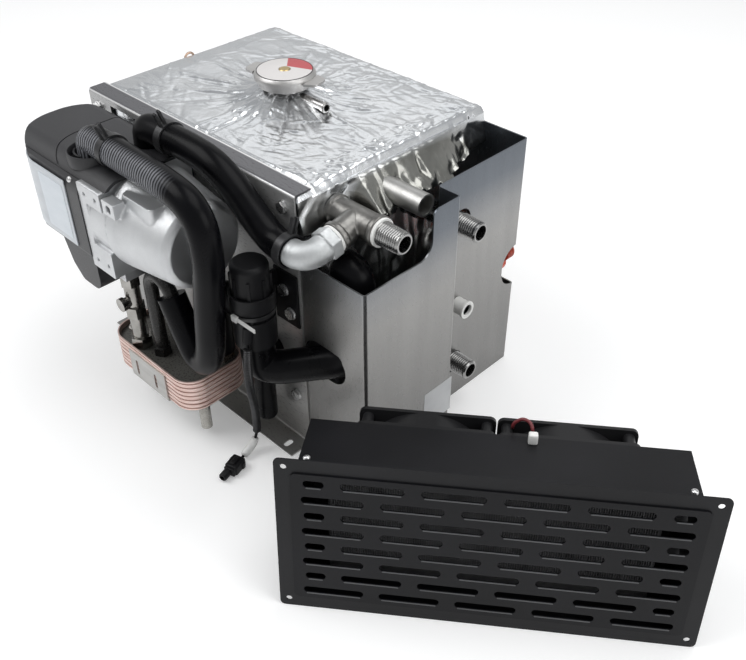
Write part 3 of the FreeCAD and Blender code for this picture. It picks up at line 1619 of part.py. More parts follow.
# Fan frames with bore, spokes and motor seat
def fan_frame(u):
    v0 = air_box_depth
    frame = rounded_panel(fan_size, fan_size, fan_corner, fan_depth)
    frame.Placement = Placement(Vector(u, v0 + fan_depth, fan_middle), Rotation(X, 90))
    centre = Vector(u, v0, fan_middle)
    hole = rod(centre - Y, Y, fan_depth + 2, fan_bore_radius)
    waist = tube(centre + Y * 4, Y, fan_depth - 8, fan_size, fan_bore_radius + fan_rim)
    posts = []
    half = fan_size / 2
    for su in (-1, 1):
        for sw in (-1, 1):
            posts.append(rod(
                centre + Vector(su * (half - 8), 4, sw * (half - 8)), Y, fan_depth - 8, 5))
    shell = union([frame.cut(waist)] + posts).cut(hole)
    seat = rod(centre + Y * (fan_depth - 4), Y, 4, fan_hub_radius)
    pin = rod(centre + Y * 4, Y, fan_depth - 6, shaft_radius)
    spokes = []
    for k in range(4):
        spoke = block(fan_hub_radius - 2, fan_bore_radius + 1, -2, 2, -2, 2)
        spoke.rotate(Vector(0, 0, 0), Y, 45 + 90 * k)
        spoke.translate(centre + Y * (fan_depth - 2))
        spokes.append(spoke)
    return union([shell, seat, pin] + spokes)


# Fan rotor: hub and pitched blades turning on the frame's pin
def fan_rotor(u):
    depth = fan_depth - 7
    centre = Vector(u, air_box_depth + 1.5, fan_middle)
    hub = rod(centre, Y, depth, fan_hub_radius)
    hub = hub.makeFillet(2.5, [hub.Edges[2]])
    reach = fan_bore_radius - fan_tip_gap
    blades = []
    for k in range(fan_blades):
        blade = block(fan_hub_radius - 3, reach + 2, -1, 1, -13, 13)
        blade.rotate(Vector(0, 0, 0), X, fan_blade_pitch)
        blade.rotate(Vector(0, 0, 0), Y, 360 * k / fan_blades)
        blade.translate(centre + Y * depth / 2)
        blades.append(blade)
    limit = rod(centre, Y, depth, reach)
    pin_hole = rod(centre + Y * 2.4, Y, depth, shaft_radius + shaft_running_gap)
    return union([hub, union(blades).common(limit)]).cut(pin_hole)


# Fan lead with its white joint, over the right fan's corner
def fan_lead_points():
    u = fan_pitch / 2 - fan_size / 2 + 22
    v = air_box_depth + 8
    top = fan_middle + fan_size / 2
    return [
        Vector(u - 10, v + 2, top), Vector(u - 9, v + 1, top + 7), Vector(u - 2, v, top + 13),
        Vector(u + 5, v - 4, top + 12), Vector(u + 7, v - 11, top + 6),
    ]


def fan_lead():
    points = fan_lead_points()
    return swept(bent_path(points, cord_radii(points)), wire_radius)


def fan_joint():
    end = fan_lead_points()[-1]
    face = end.y - 0.85
    return block(end.x - 6, end.x + 6, face - 9, face, air_top, end.z + 4)


# Screws of the air box, one node
def air_screws():
    made = []
    for u in (-air_box_width / 2 + 9, air_box_width / 2 - 9):
        for z, way in ((air_top, Z), (air_floor, -Z)):
            start = Vector(u, 7, z)
            head = rod(start, way, screw_head_height, screw_head_radius)
            made.append(head.makeChamfer(0.8, [head.Edges[0]]))
    return made


keep("front_chassis", front_chassis())
keep("side_cover", side_cover())
keep("base_tray", base_tray())
keep("casing_bolts", *casing_bolts())
keep("tank_vessel", tank_vessel())
keep("foil_jacket", foil_jacket())
keep("filler_neck", filler_neck())
keep("cap_shell", cap_shell())
keep("cap_valve", cap_valve())
keep("tee_fitting", tee_fitting())
keep("hose_elbow", hose_elbow())
keep("outlet_nipple", outlet_nipple())
keep("thread_tape", *thread_tape())
keep("side_nipples", *side_nipples())
keep("drain_outlet", drain_outlet())
keep("relief_valve", relief_valve())
keep("relief_knob", relief_knob())
keep("blower_housing", blower_housing())
keep("data_cover", data_cover())
keep("intake_housing", intake_housing())
keep("burner_block", burner_block())
keep("water_jacket", water_jacket())
keep("flame_tube", flame_tube())
keep("blower_motor", blower_motor())
keep("blower_wheel", blower_wheel())
keep("water_ports", *water_ports())
keep("exhaust_stub", exhaust_stub())
keep("heater_plate", heater_plate())
keep("supply_hose", supply_hose())
keep("return_hose", return_hose())
keep("pump_hose", pump_hose())
keep("hose_clamps", *hose_clamps())
keep("exchanger_pack", exchanger_pack())
keep("exchanger_ends", *exchanger_ends())
keep("exchanger_fittings", *exchanger_fittings())
keep("exchanger_strap", exchanger_strap())
keep("swan_neck", swan_neck())
keep("isolating_union", isolating_union())
keep("pump_body", pump_body())
keep("pump_impeller", pump_impeller())
keep("inlet_hose", inlet_hose())
keep("drain_hose", drain_hose())
keep("pump_strap", pump_strap())
keep("cable_tie", cable_tie())
keep("floor_lead", floor_lead())
keep("lead_gland", lead_gland())
keep("lead_plug", lead_plug())
keep("air_housing", air_place(air_housing()))
keep("front_grille", air_place(front_grille()))
keep("air_coil", air_place(air_coil()))
keep("fan_frames", air_place(fan_frame(-fan_pitch / 2)), air_place(fan_frame(fan_pitch / 2)))
keep("fan_rotor_left", air_place(fan_rotor(-fan_pitch / 2)))
keep("fan_rotor_right", air_place(fan_rotor(fan_pitch / 2)))
keep("fan_lead", air_place(fan_lead()))
keep("fan_joint", air_place(fan_joint()))
keep("air_screws", *[air_place(screw) for screw in air_screws()])

os.makedirs("parts", exist_ok=True)
for name, shape in pieces.items():
    shape.exportStep("parts/" + name + ".step")
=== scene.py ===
import json
import math
import random

import bmesh
import bpy
import numpy as np
from mathutils import Matrix, Vector, noise


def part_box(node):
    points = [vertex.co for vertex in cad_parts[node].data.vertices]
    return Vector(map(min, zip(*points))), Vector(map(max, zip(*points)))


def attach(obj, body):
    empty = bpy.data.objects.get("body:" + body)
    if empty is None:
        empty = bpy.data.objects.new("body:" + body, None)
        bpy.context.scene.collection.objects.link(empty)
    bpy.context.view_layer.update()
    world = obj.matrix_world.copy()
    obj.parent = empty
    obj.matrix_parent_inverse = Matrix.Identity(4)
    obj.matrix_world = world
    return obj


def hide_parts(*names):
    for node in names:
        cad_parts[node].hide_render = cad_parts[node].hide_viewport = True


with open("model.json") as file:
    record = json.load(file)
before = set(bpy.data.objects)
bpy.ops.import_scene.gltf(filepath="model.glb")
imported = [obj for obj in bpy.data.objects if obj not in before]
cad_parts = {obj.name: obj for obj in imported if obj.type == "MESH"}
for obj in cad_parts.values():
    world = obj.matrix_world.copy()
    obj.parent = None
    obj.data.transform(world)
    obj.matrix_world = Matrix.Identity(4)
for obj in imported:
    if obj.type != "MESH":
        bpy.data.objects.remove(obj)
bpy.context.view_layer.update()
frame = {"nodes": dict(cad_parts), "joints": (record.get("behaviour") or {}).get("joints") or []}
nodes = frame["nodes"]
mm = 0.001
fixed = "heater_set"


# Casing: front chassis, side cover, base tray and mounting plate, laser cut from
# stainless sheet and folded. The faces keep the mill's satin grain, under painted
# reflection and shade that run over the height; the rail's top has a painted dark
# reflection and painted highlights along its edges. They are bolted together at the laps.
def shader_group(name, inputs, outputs):
    tree = bpy.data.node_groups.new(name, "ShaderNodeTree")
    for label, value in inputs:
        kind = "NodeSocketVector" if value is None else "NodeSocketFloat"
        socket = tree.interface.new_socket(label, in_out="INPUT", socket_type=kind)
        if value is not None:
            socket.default_value = value
    for label in outputs:
        tree.interface.new_socket(label, in_out="OUTPUT", socket_type="NodeSocketFloat")
    return tree, tree.nodes.new("NodeGroupInput"), tree.nodes.new("NodeGroupOutput")


def added(tree, kind, inputs, **settings):
    """Outputs of a new node, whose inputs are sockets to link or plain values."""
    made = tree.nodes.new("ShaderNode" + kind)
    for label, value in settings.items():
        setattr(made, label, value)
    for label, value in inputs.items():
        if isinstance(value, bpy.types.NodeSocket):
            tree.links.new(value, made.inputs[label])
        else:
            made.inputs[label].default_value = value
    return made.outputs


def ranged(tree, value, low, high, ends="To"):
    """Value of 0..1 spread over low..high, or the other way round where the ends are From."""
    return added(tree, "MapRange", {"Value": value, ends + " Min": low, ends + " Max": high})["Result"]


def stretched(tree, value, low, high):
    """Share of the way that a value has come from low to high."""
    return ranged(tree, value, low, high, "From")


def mottle_group():
    """Soft patches and fine speckle, each from 0 to 1."""
    sockets = [("Vector", None), ("Patch Scale", 20.0), ("Speckle Scale", 700.0)]
    tree, source, result = shader_group("mottle", sockets, ["Patches", "Speckle"])
    for label, output, detail in (("Patch Scale", "Patches", 4.0), ("Speckle Scale", "Speckle", 2.0)):
        inputs = {"Vector": source.outputs["Vector"], "Scale": source.outputs[label], "Detail": detail}
        cloud = added(tree, "TexNoise", inputs)["Fac"]
        tree.links.new(stretched(tree, cloud, 0.3, 0.7), result.inputs[output])
    return tree


mottle = mottle_group()


def mottled(tree, place, patch, speckle):
    inputs = {"Vector": place, "Patch Scale": patch, "Speckle Scale": speckle}
    return added(tree, "Group", inputs, node_tree=mottle)


def blank_material(name, metallic):
    made = bpy.data.materials.new(name)
    made.use_nodes = True
    shader = made.node_tree.nodes["Principled BSDF"]
    shader.inputs["Metallic"].default_value = metallic
    return made, made.node_tree, shader, added(made.node_tree, "TexCoord", {})["Object"]


def axes_of(tree, place):
    return added(tree, "SeparateXYZ", {"Vector": place})


def mixed(tree, share, under, over, kind="MIX"):
    """Blend of two colours, each a socket or three numbers, by the Mix node's colour sockets."""
    first, second, result = 6, 7, 2
    under, over = (c if isinstance(c, bpy.types.NodeSocket) else (*c, 1) for c in (under, over))
    inputs = {"Factor": share, first: under, second: over}
    return added(tree, "Mix", inputs, data_type="RGBA", blend_type=kind)[result]


def relief(tree, shader, height, strength, depth):
    bump = added(tree, "Bump", {"Strength": strength, "Distance": depth, "Height": height})
    tree.links.new(bump["Normal"], shader.inputs["Normal"])


def finish(
        name, dark, light, metallic, rough, patch=20.0, speckle=700.0,
        grain=(1, 1, 1), bump=0.08, depth=0.2 * mm):
    """Material whose tone varies in soft patches, and its gloss and skin in fine speckle."""
    made, tree, shader, place = blank_material(name, metallic)
    along_grain = added(tree, "Mapping", {"Vector": place, "Scale": grain})["Vector"]
    spots = mottled(tree, along_grain, patch, speckle)
    tree.links.new(mixed(tree, spots["Patches"], dark, light), shader.inputs["Base Color"])
    tree.links.new(ranged(tree, spots["Speckle"], *rough), shader.inputs["Roughness"])
    if bump:
        relief(tree, shader, spots["Speckle"], bump, depth)
    return made


def dress(node, material, edge=0.4 * mm, angle=35):
    """Give a CAD node its material, with its edges broken and its curves shaded smooth."""
    piece = nodes[node]
    piece.data.materials.clear()
    piece.data.materials.append(material)
    piece.data.polygons.foreach_set("use_smooth", [True] * len(piece.data.polygons))
    weld = piece.modifiers.new("weld", "WELD")
    weld.merge_threshold = 0.01 * mm
    flats = piece.modifiers.new("flats", "DECIMATE")
    flats.decimate_type = "DISSOLVE"
    flats.angle_limit = math.radians(0.5)
    if edge:
        broken = piece.modifiers.new("broken_edge", "BEVEL")
        broken.width = edge
        broken.segments = 2
        broken.limit_method = "ANGLE"
        broken.angle_limit = math.radians(angle)
    shading = piece.modifiers.new("shading", "WEIGHTED_NORMAL")
    shading.weight = 60


def tone_ramp(tree, value, steps):
    """Tones along a length, from pairs of a place in millimetres and a colour."""
    low, high = steps[0][0] * mm, steps[-1][0] * mm
    ramp = tree.nodes.new("ShaderNodeValToRGB")
    for step in steps[1:-1]:
        ramp.color_ramp.elements.new((step[0] * mm - low) / (high - low))
    for element, step in zip(ramp.color_ramp.elements, steps):
        element.color = (*step[1], 1)
    tree.links.new(stretched(tree, value, low, high), ramp.inputs["Fac"])
    return ramp.outputs["Color"]


def sheet_steel(name, metallic, grain, tones, rail_tones=None):
    """Satin sheet with painted reflection and shade over its height, and painted highlights over the rail's
    depth on its top face.
    """
    made = finish(name, (0.9, 0.9, 0.9), (1.0, 1.0, 1.0), metallic, (0.27, 0.30), 6, 160, grain, bump=0)
    tree = made.node_tree
    axes = axes_of(tree, tree.nodes["Texture Coordinate"].outputs["Object"])
    tone = tone_ramp(tree, axes["Z"], tones)
    # Painted dark reflection and painted edge highlights on the rail's top face.
    if rail_tones:
        below_top, at_top = 289.6 * mm, 290.2 * mm
        top = stretched(tree, axes["Z"], below_top, at_top)
        tone = mixed(tree, top, tone, tone_ramp(tree, axes["Y"], rail_tones))
    shader = tree.nodes["Principled BSDF"]
    streaks = shader.inputs["Base Color"].links[0].from_socket
    tree.links.new(mixed(tree, 1.0, tone, streaks, "MULTIPLY"), shader.inputs["Base Color"])
    return made


# Painted reflection and shade: blue-grey and dark at the top, lightest at mid height, darker towards the
# bottom.
cover_tones = [
    (0, (0.22, 0.217, 0.212)), (70, (0.25, 0.247, 0.241)), (185, (0.32, 0.316, 0.308)),
    (215, (0.28, 0.283, 0.286)), (250, (0.15, 0.165, 0.185)), (280, (0.125, 0.14, 0.16))]
satin_steel = sheet_steel("satin_stainless", 0.9, (9, 9, 1), cover_tones)
for node in ("side_cover", "base_tray", "heater_plate"):
    dress(node, satin_steel, 0.3 * mm)
# Painted shading: the web is lighter towards the top.
web_tones = [(0, (0.34, 0.335, 0.325)), (280, (0.40, 0.40, 0.40)), (292, (0.44, 0.44, 0.44))]
# Painted reflection and highlights: the rail's top is dark, with bright painted lines along its two edges.
rail_top_tones = [
    (-127, (0.9, 0.9, 0.9)), (-125, (0.8, 0.8, 0.8)), (-124.4, (0.16, 0.16, 0.17)),
    (-107.6, (0.15, 0.15, 0.16)), (-106.9, (0.8, 0.8, 0.8)), (-105, (0.9, 0.9, 0.9))]
rail_steel = sheet_steel("rail_stainless", 0.55, (1, 9, 9), web_tones, rail_top_tones)
dress("front_chassis", rail_steel, 0.4 * mm)


# Bolts of the casing: flanged hexagon heads, forged from steel and zinc-plated,
# that clamp the laps of the sheets.
bright_zinc = finish(
    "bright_zinc", (0.60, 0.60, 0.61), (0.74, 0.74, 0.73), 1.0, (0.24, 0.34), 60, 900, bump=0.02)
dress("casing_bolts", bright_zinc, 0.5 * mm)


# Tank: welded vessel of pickled stainless with its ports, inside the jacket.
# Only the port ends show, dull from the acid.
pickled_steel = finish("pickled_steel", (0.40, 0.40, 0.385), (0.54, 0.535, 0.52), 1.0, (0.36, 0.5), 40, 500)
dress("tank_vessel", pickled_steel)


# Foil jacket: felt under aluminium foil, wrapped loosely and gathered round the
# filler neck, so that creases run out from it. The top is puffed up between the
# rail and the edges, and the right side hangs in folds over the ports.
def placed(name, data, material, stands_for, body=fixed):
    """Object of a mesh or a curve, on its body and with its slot."""
    data.materials.append(material)
    piece = bpy.data.objects.new(name, data)
    bpy.context.scene.collection.objects.link(piece)
    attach(piece, body)
    if stands_for:
        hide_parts(*stands_for)
    return piece


def new_piece(name, bm, material, stands_for=(), sharp=40, body=fixed):
    mesh = bpy.data.meshes.new(name)
    bm.to_mesh(mesh)
    bm.free()
    mesh.polygons.foreach_set("use_smooth", [True] * len(mesh.polygons))
    mesh.set_sharp_from_angle(angle=math.radians(sharp))
    return placed(name, mesh, material, stands_for, body)


def reckoned(tree, operation, *terms):
    """Result of a Math node whose terms are sockets or numbers."""
    return added(tree, "Math", dict(enumerate(terms)), operation=operation)["Value"]


def crinkle_group():
    """Foil facets: pyramids of three sizes whose feet meet in sharp creases, bent by noise."""
    tree, source, result = shader_group("crinkle", [("Vector", None), ("Scale", 40.0)], ["Height", "Shade"])
    place, bend_reach = source.outputs["Vector"], (0.035, 0.035, 0.035)
    bend = added(tree, "TexNoise", {"Vector": place, "Scale": 28.0, "Detail": 3.0})
    terms = {0: bend["Color"], 1: bend_reach, 2: place}
    bent = added(tree, "VectorMath", terms, operation="MULTIPLY_ADD")["Vector"]
    total = 0.0
    for times, weight in ((1.0, 1.0), (2.4, 0.42), (5.8, 0.16)):
        scale = reckoned(tree, "MULTIPLY", source.outputs["Scale"], times)
        cells = added(tree, "TexVoronoi", {"Vector": bent, "Scale": scale}, distance="MANHATTAN")
        total = reckoned(tree, "MULTIPLY_ADD", cells["Distance"], weight, total)
    tree.links.new(total, result.inputs["Height"])
    tree.links.new(bend["Fac"], result.inputs["Shade"])
    return tree


def foil_material():
    """Bright on the top, with painted shade where the foil hangs over the pipes."""
    made, tree, shader, place = blank_material("crinkled_foil", 1.0)
    creases = added(tree, "Group", {"Vector": place, "Scale": 42.0}, node_tree=crinkle_group())
    shade = creases["Shade"]
    bright = mixed(tree, shade, (0.72, 0.745, 0.775), (0.86, 0.87, 0.88))
    # Painted shade: the hanging right side is a darker copy of the foil.
    dark = mixed(tree, shade, (0.17, 0.17, 0.155), (0.44, 0.44, 0.415))
    hung = stretched(tree, axes_of(tree, place)["X"], 118 * mm, 126 * mm)
    tree.links.new(mixed(tree, hung, bright, dark), shader.inputs["Base Color"])
    tree.links.new(ranged(tree, shade, 0.2, 0.3), shader.inputs["Roughness"])
    relief(tree, shader, creases["Height"], 0.22, 0.8 * mm)
    return made


def crease_field(spots, creases):
    """Height over flat spots of tent-shaped creases: place, way, half length, half width and rise."""
    height = np.zeros(len(spots))
    for place, way, length, half, rise in creases:
        offset = spots - np.array(place)
        along = np.abs(offset @ np.array(way))
        across = np.abs(offset @ np.array((-way[1], way[0])))
        taper = np.sqrt(np.clip(1 - along / length, 0, 1))
        height += rise * taper * np.clip(1 - across / half, 0, 1)
    return height


def heading(turn):
    return math.cos(turn), math.sin(turn)


def gathered_creases(draw, centre, start, count, lengths, rises):
    """Creases that run out from a gathered point."""
    made = []
    for k in range(count):
        turn = 2 * math.pi * (k + draw.uniform(-0.4, 0.4)) / count
        half = draw.uniform(*lengths) * mm
        way, reach = heading(turn), start + half * 0.8
        place = (centre[0] + way[0] * reach, centre[1] + way[1] * reach)
        rise = draw.uniform(*rises) * draw.choice((1, 1, -1)) * mm
        askew = heading(turn + draw.uniform(-0.12, 0.12))
        made.append((place, askew, half, draw.uniform(1.8, 4.5) * mm, rise))
    return made


def loose_creases(draw, area, count, lean, lengths, widths, rises):
    """Creases strewn over an area between two corners, mostly at one lean."""
    low, high = area
    made = []
    for _ in range(count):
        place = (draw.uniform(low[0], high[0]), draw.uniform(low[1], high[1]))
        way = heading(math.radians(lean + draw.gauss(0, 38)))
        rise = draw.uniform(*rises) * draw.choice((1, -1)) * mm
        made.append((place, way, draw.uniform(*lengths) * mm, draw.uniform(*widths) * mm, rise))
    return made


def top_creases(draw, low, high, filler, rail_edge):
    """Creases of the top, gathered at the neck and at the rail's corner and loose elsewhere."""
    corner = (high.x - 6 * mm, rail_edge + 2 * mm)
    whole = (low.x, rail_edge), (high.x, high.y)
    right_half = (filler.x, rail_edge), (high.x, high.y)
    back_edge = (low.x, high.y - 22 * mm), (high.x, high.y - 3 * mm)
    right_edge = (high.x - 24 * mm, rail_edge), (high.x - 3 * mm, high.y)
    made = gathered_creases(draw, filler, 21 * mm, count=64, lengths=(12, 60), rises=(0.5, 2.0))
    made += gathered_creases(draw, corner, 1 * mm, count=26, lengths=(8, 26), rises=(0.4, 1.6))
    made += loose_creases(
        draw, whole, count=260, lean=10, lengths=(8, 34), widths=(1.8, 3.6), rises=(0.1, 0.5))
    made += loose_creases(
        draw, right_half, count=240, lean=4, lengths=(6, 22), widths=(1.7, 2.8), rises=(0.25, 0.85))
    for edge, lean in ((back_edge, 0), (right_edge, 90)):
        made += loose_creases(
            draw, edge, count=60, lean=lean, lengths=(10, 40), widths=(2.0, 4.0), rises=(0.3, 0.9))
    return made


def side_folds(draw, low, high):
    """Folds of the right side, most of them where the loose foil hangs."""
    whole = (low.y, low.z), (high.y, high.z)
    hung = (-70 * mm, high.z - 48 * mm), (110 * mm, high.z)
    made = loose_creases(draw, whole, count=150, lean=62, lengths=(12, 46), widths=(4, 9), rises=(0.8, 3.0))
    made += loose_creases(draw, hung, count=46, lean=40, lengths=(10, 34), widths=(3.5, 7), rises=(1.2, 3.6))
    made += loose_creases(draw, hung, count=90, lean=100, lengths=(6, 18), widths=(2, 4), rises=(0.5, 1.4))
    return made


foil_round = 6 * mm


def draped_sheet(low, high):
    """Fine grid over the top, whose rim is drawn down in rows and closed below."""
    size, middle = high - low, (low + high) / 2
    step = 1.7 * mm
    bm = bmesh.new()
    bmesh.ops.create_grid(bm, x_segments=int(size.x / step), y_segments=int(size.y / step), size=0.5)
    bmesh.ops.scale(bm, vec=(size.x, size.y, 1), verts=bm.verts)
    bmesh.ops.translate(bm, vec=(middle.x, middle.y, high.z), verts=bm.verts)
    upper_falls, lower_rows = [foil_round + 0.4 * mm] + [2 * mm] * 20, 36
    lower_fall = (size.z - sum(upper_falls)) / lower_rows
    rim = [e for e in bm.edges if e.is_boundary]
    for fall in upper_falls + [lower_fall] * lower_rows:
        made = bmesh.ops.extrude_edge_only(bm, edges=rim)["geom"]
        lower = [g for g in made if isinstance(g, bmesh.types.BMVert)]
        bmesh.ops.translate(bm, vec=(0, 0, -fall), verts=lower)
        rim = [g for g in made if isinstance(g, bmesh.types.BMEdge) and g.is_boundary]
    bmesh.ops.contextual_create(bm, geom=rim)
    bmesh.ops.recalc_face_normals(bm, faces=bm.faces)
    return bm


def puffed_height(p, lift, low, high, filler, rail_edge):
    """Height of a spot of the top, puffed between its round edges and drawn up at the neck."""
    puff_reach, crease_reach = 30 * mm, 4 * mm
    neck_radius, mound_rise, mound_reach = 19 * mm, 12 * mm, 50 * mm
    gap = max(0.0, min(p.x - low.x, high.x - p.x, high.y - p.y, p.y - low.y))
    crown = min(1.0, gap / puff_reach) ** 0.5
    away = max(0.0, (p.xy - filler.xy).length - neck_radius)
    mound = mound_rise * max(0.0, 1 - away / mound_reach) ** 2
    rise = (2.2 + 0.9 * noise.noise(p * 14)) * mm * crown + lift * min(1.0, gap / crease_reach) + mound
    if p.y < rail_edge + 2 * mm:
        rise = min(rise, 0) - 0.6 * mm
    drop = 0
    if gap < foil_round:
        drop = foil_round - math.sqrt(max(0, foil_round ** 2 - (foil_round - gap) ** 2))
    return p.z + rise - drop


def flap_reach(y):
    """How far the loose foil hangs out over the pipes along the right side."""
    front, back, least, most = -64 * mm, 40 * mm, 7 * mm, 34 * mm
    if y < front:
        return least
    if y < back:
        return least + (most - least) * min(1.0, (y - front) / (10 * mm))
    return most * max(0.2, 1 - (y - back) / (75 * mm))


def hung_spot(p, fold, settle, top):
    """Place of a spot of the right side, which hangs out as far down as its hem."""
    hem_curl, loose_from, fold_share = 7 * mm, 12 * mm, 0.7
    swell = noise.noise(Vector((3, p.y * 18, p.z * 18)))
    out, deep = flap_reach(p.y), top - p.z
    hem = (36 + 5 * noise.noise(Vector((8, p.y * 40, 0)))) * mm
    hang = deep / hem if deep < hem else max(0.0, 1 - (deep - hem) / hem_curl)
    inward = (1.5 + 2.0 * swell) * mm * settle + abs(fold) * settle
    loose = hang * min(1.0, out / loose_from)
    stir = fold_share * fold * loose
    return Vector((p.x - inward * (1 - loose) + out * hang + stir, p.y, p.z + stir))


def foil_jacket():
    low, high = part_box("foil_jacket")
    neck_low, neck_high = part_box("cap_valve")
    filler = (neck_low + neck_high) / 2
    rail_depth = 46.5 * mm
    rail_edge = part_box("front_chassis")[0].y + rail_depth
    bm = draped_sheet(low, high)
    draw = random.Random(23)
    creases = top_creases(draw, low, high, filler, rail_edge)
    folds = side_folds(draw, low, high)
    points = np.array([vert.co[:] for vert in bm.verts])
    top_lift = crease_field(points[:, :2], creases)
    side_fold = crease_field(points[:, 1:], folds)
    near, settle_depth = 0.5 * mm, 24 * mm
    for vert, lift, fold in zip(bm.verts, top_lift, side_fold):
        p = vert.co.copy()
        settle = min(1.0, (high.z - p.z) / settle_depth)
        if p.z > high.z - near:
            vert.co.z = puffed_height(p, lift, low, high, filler, rail_edge)
        elif p.x > high.x - near:
            vert.co = hung_spot(p, fold, settle, high.z)
        elif p.z > low.z + near:
            tuck = (1.2 + 1.2 * noise.noise(p * 14)) * mm * settle
            vert.co.x = p.x + (tuck if p.x < low.x + near else 0)
            if p.y > high.y - near:
                vert.co.y = p.y - tuck
            elif p.y < low.y + near:
                vert.co.y = p.y + tuck
    new_piece("foil_wrap", bm, foil_material(), ["foil_jacket"], 60)


foil_jacket()


# Earth eye on the left wall: a small pressed steel ring on a stem, copper-plated,
# that stands up behind the foil's edge.
def turned(profile, base, way, steps=48, closed=True):
    """Bmesh of (radius, height) points spun about a line through base."""
    bm = bmesh.new()
    verts = [bm.verts.new((r, 0, h)) for r, h in profile]
    pairs = list(zip(verts, verts[1:]))
    if closed:
        pairs.append((verts[-1], verts[0]))
    edges = [bm.edges.new(pair) for pair in pairs]
    bmesh.ops.spin(
        bm, geom=verts + edges, cent=(0, 0, 0), axis=(0, 0, 1), dvec=(0, 0, 0),
        angle=2 * math.pi, steps=steps, use_merge=True)
    bmesh.ops.remove_doubles(bm, verts=bm.verts, dist=0.001 * mm)
    bmesh.ops.recalc_face_normals(bm, faces=bm.faces)
    turn = Vector((0, 0, 1)).rotation_difference(Vector(way)).to_matrix().to_4x4()
    bmesh.ops.transform(bm, matrix=Matrix.Translation(base) @ turn, verts=bm.verts)
    return bm


def joined(*parts):
    """One bmesh of several, which are freed."""
    whole = bmesh.new()
    for part in parts:
        mesh = bpy.data.meshes.new("part")
        part.to_mesh(mesh)
        part.free()
        whole.from_mesh(mesh)
        bpy.data.meshes.remove(mesh)
    return whole


def ring_profile(radius, thick, corners=10):
    turns = [2 * math.pi * k / corners for k in range(corners)]
    return [(radius + thick * math.cos(t), thick * math.sin(t)) for t in turns]


wall_low, wall_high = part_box("base_tray")
eye_x, eye_height, eye_radius, eye_wire = wall_low.x + 1.8 * mm, 287 * mm, 6 * mm, 1.3 * mm
eye = turned(ring_profile(eye_radius, eye_wire), (eye_x, 0, eye_height), (1, 0, 0), 28)
stem_radius, stem_height, stem_hidden = 1.6 * mm, 12 * mm, 4 * mm
stem = turned(
    [(0, 0), (stem_radius, 0), (stem_radius, stem_height), (0, stem_height)],
    (eye_x, 0, wall_high.z - stem_hidden), (0, 0, 1), 16, False)
copper_lug = finish("copper_lug", (0.45, 0.30, 0.22), (0.62, 0.46, 0.36), 1.0, (0.3, 0.45), 120, 900)
new_piece("earth_eye", joined(eye, stem), copper_lug)


# Filler neck: turned steel with a brazed overflow spout, nickelled bright. It
# stands on the tank and comes up through the foil.
bright_steel = finish("bright_steel", (0.50, 0.49, 0.48), (0.64, 0.63, 0.62), 1.0, (0.18, 0.3), 40, 500)
dress("filler_neck", bright_steel, 0.3 * mm)


# Filler cap: pressed metal with two grip ears, tumbled to a dull grey, over a
# brass valve. The disc on top is bare, pale with a red segment at the back, and
# a dark seal lies round it.
pressed_metal = finish(
    "pressed_cap", (0.50, 0.49, 0.48), (0.62, 0.61, 0.60), 1.0, (0.38, 0.52), 45, 600, bump=0.12)
dress("cap_shell", pressed_metal, 0.9 * mm)
plain_brass = finish("plain_brass", (0.50, 0.38, 0.19), (0.62, 0.49, 0.27), 1.0, (0.25, 0.4), 60, 700)
dress("cap_valve", plain_brass, 0.3 * mm)
valve_low, valve_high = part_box("cap_valve")
cap_axis = (valve_low + valve_high) / 2
cap_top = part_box("cap_shell")[1].z


def cap_paint():
    """Pale paint, red past two straight limits."""
    made, tree, shader, place = blank_material("cap_paint", 0.0)
    shader.inputs["Roughness"].default_value = 0.38
    shift = (-cap_axis.x, -cap_axis.y, 0)
    centred = added(tree, "Mapping", {"Vector": place, "Location": shift})["Vector"]
    limits = []
    for way, start, end in (((-0.39, 0.92, 0), 7.1, 7.5), ((0.706, 0.708, 0), 1.6, 2.0)):
        toward = added(tree, "VectorMath", {0: centred, 1: way}, operation="DOT_PRODUCT")["Value"]
        limits.append(stretched(tree, toward, start * mm, end * mm))
    red = reckoned(tree, "MULTIPLY", *limits)
    tone = mixed(tree, red, (0.64, 0.62, 0.61), (0.46, 0.07, 0.08))
    tree.links.new(tone, shader.inputs["Base Color"])
    return made


disc_outer, disc_inner, disc_thick, disc_edge = 27.5 * mm, 6.2 * mm, 0.5 * mm, 0.5 * mm
disc_outline = [
    (disc_inner, 0), (disc_outer, 0), (disc_outer, 0.6 * disc_thick), (disc_outer - disc_edge, disc_thick),
    (disc_inner, disc_thick)]
disc = turned(disc_outline, (cap_axis.x, cap_axis.y, cap_top), (0, 0, 1), 64)
new_piece("cap_disc", disc, cap_paint(), body="cap")
seal_outline = ring_profile(disc_outer + 0.3 * mm, 0.45 * mm)
seal = turned(seal_outline, (cap_axis.x, cap_axis.y, cap_top + 0.1 * mm), (0, 0, 1), 64)
dark_seal = finish("dark_seal", (0.02, 0.02, 0.022), (0.04, 0.04, 0.042), 0.0, (0.4, 0.55))
new_piece("cap_seal", seal, dark_seal, body="cap")


# Tee: cast stainless with rounded beads, screwed on the tank's upper port. Its
# skin is a little rough from the mould.
def cast_copy(name, node, material, voxel, rounds=4):
    """Copy of a CAD node with the soft edges of a casting."""
    bm = bmesh.new()
    bm.from_mesh(nodes[node].data)
    bmesh.ops.remove_doubles(bm, verts=bm.verts, dist=0.01 * mm)
    piece = new_piece(name, bm, material, [node], 180)
    skin = piece.modifiers.new("skin", "REMESH")
    skin.mode = "VOXEL"
    skin.voxel_size = voxel
    skin.use_smooth_shade = True
    soft = piece.modifiers.new("soft", "SMOOTH")
    soft.factor = 0.5
    soft.iterations = rounds


cast_stainless = finish(
    "cast_stainless", (0.17, 0.166, 0.158), (0.27, 0.265, 0.252), 1.0, (0.32, 0.46), 60, 420,
    bump=0.14, depth=0.3 * mm)
cast_copy("cast_tee", "tee_fitting", cast_stainless, 0.7 * mm)


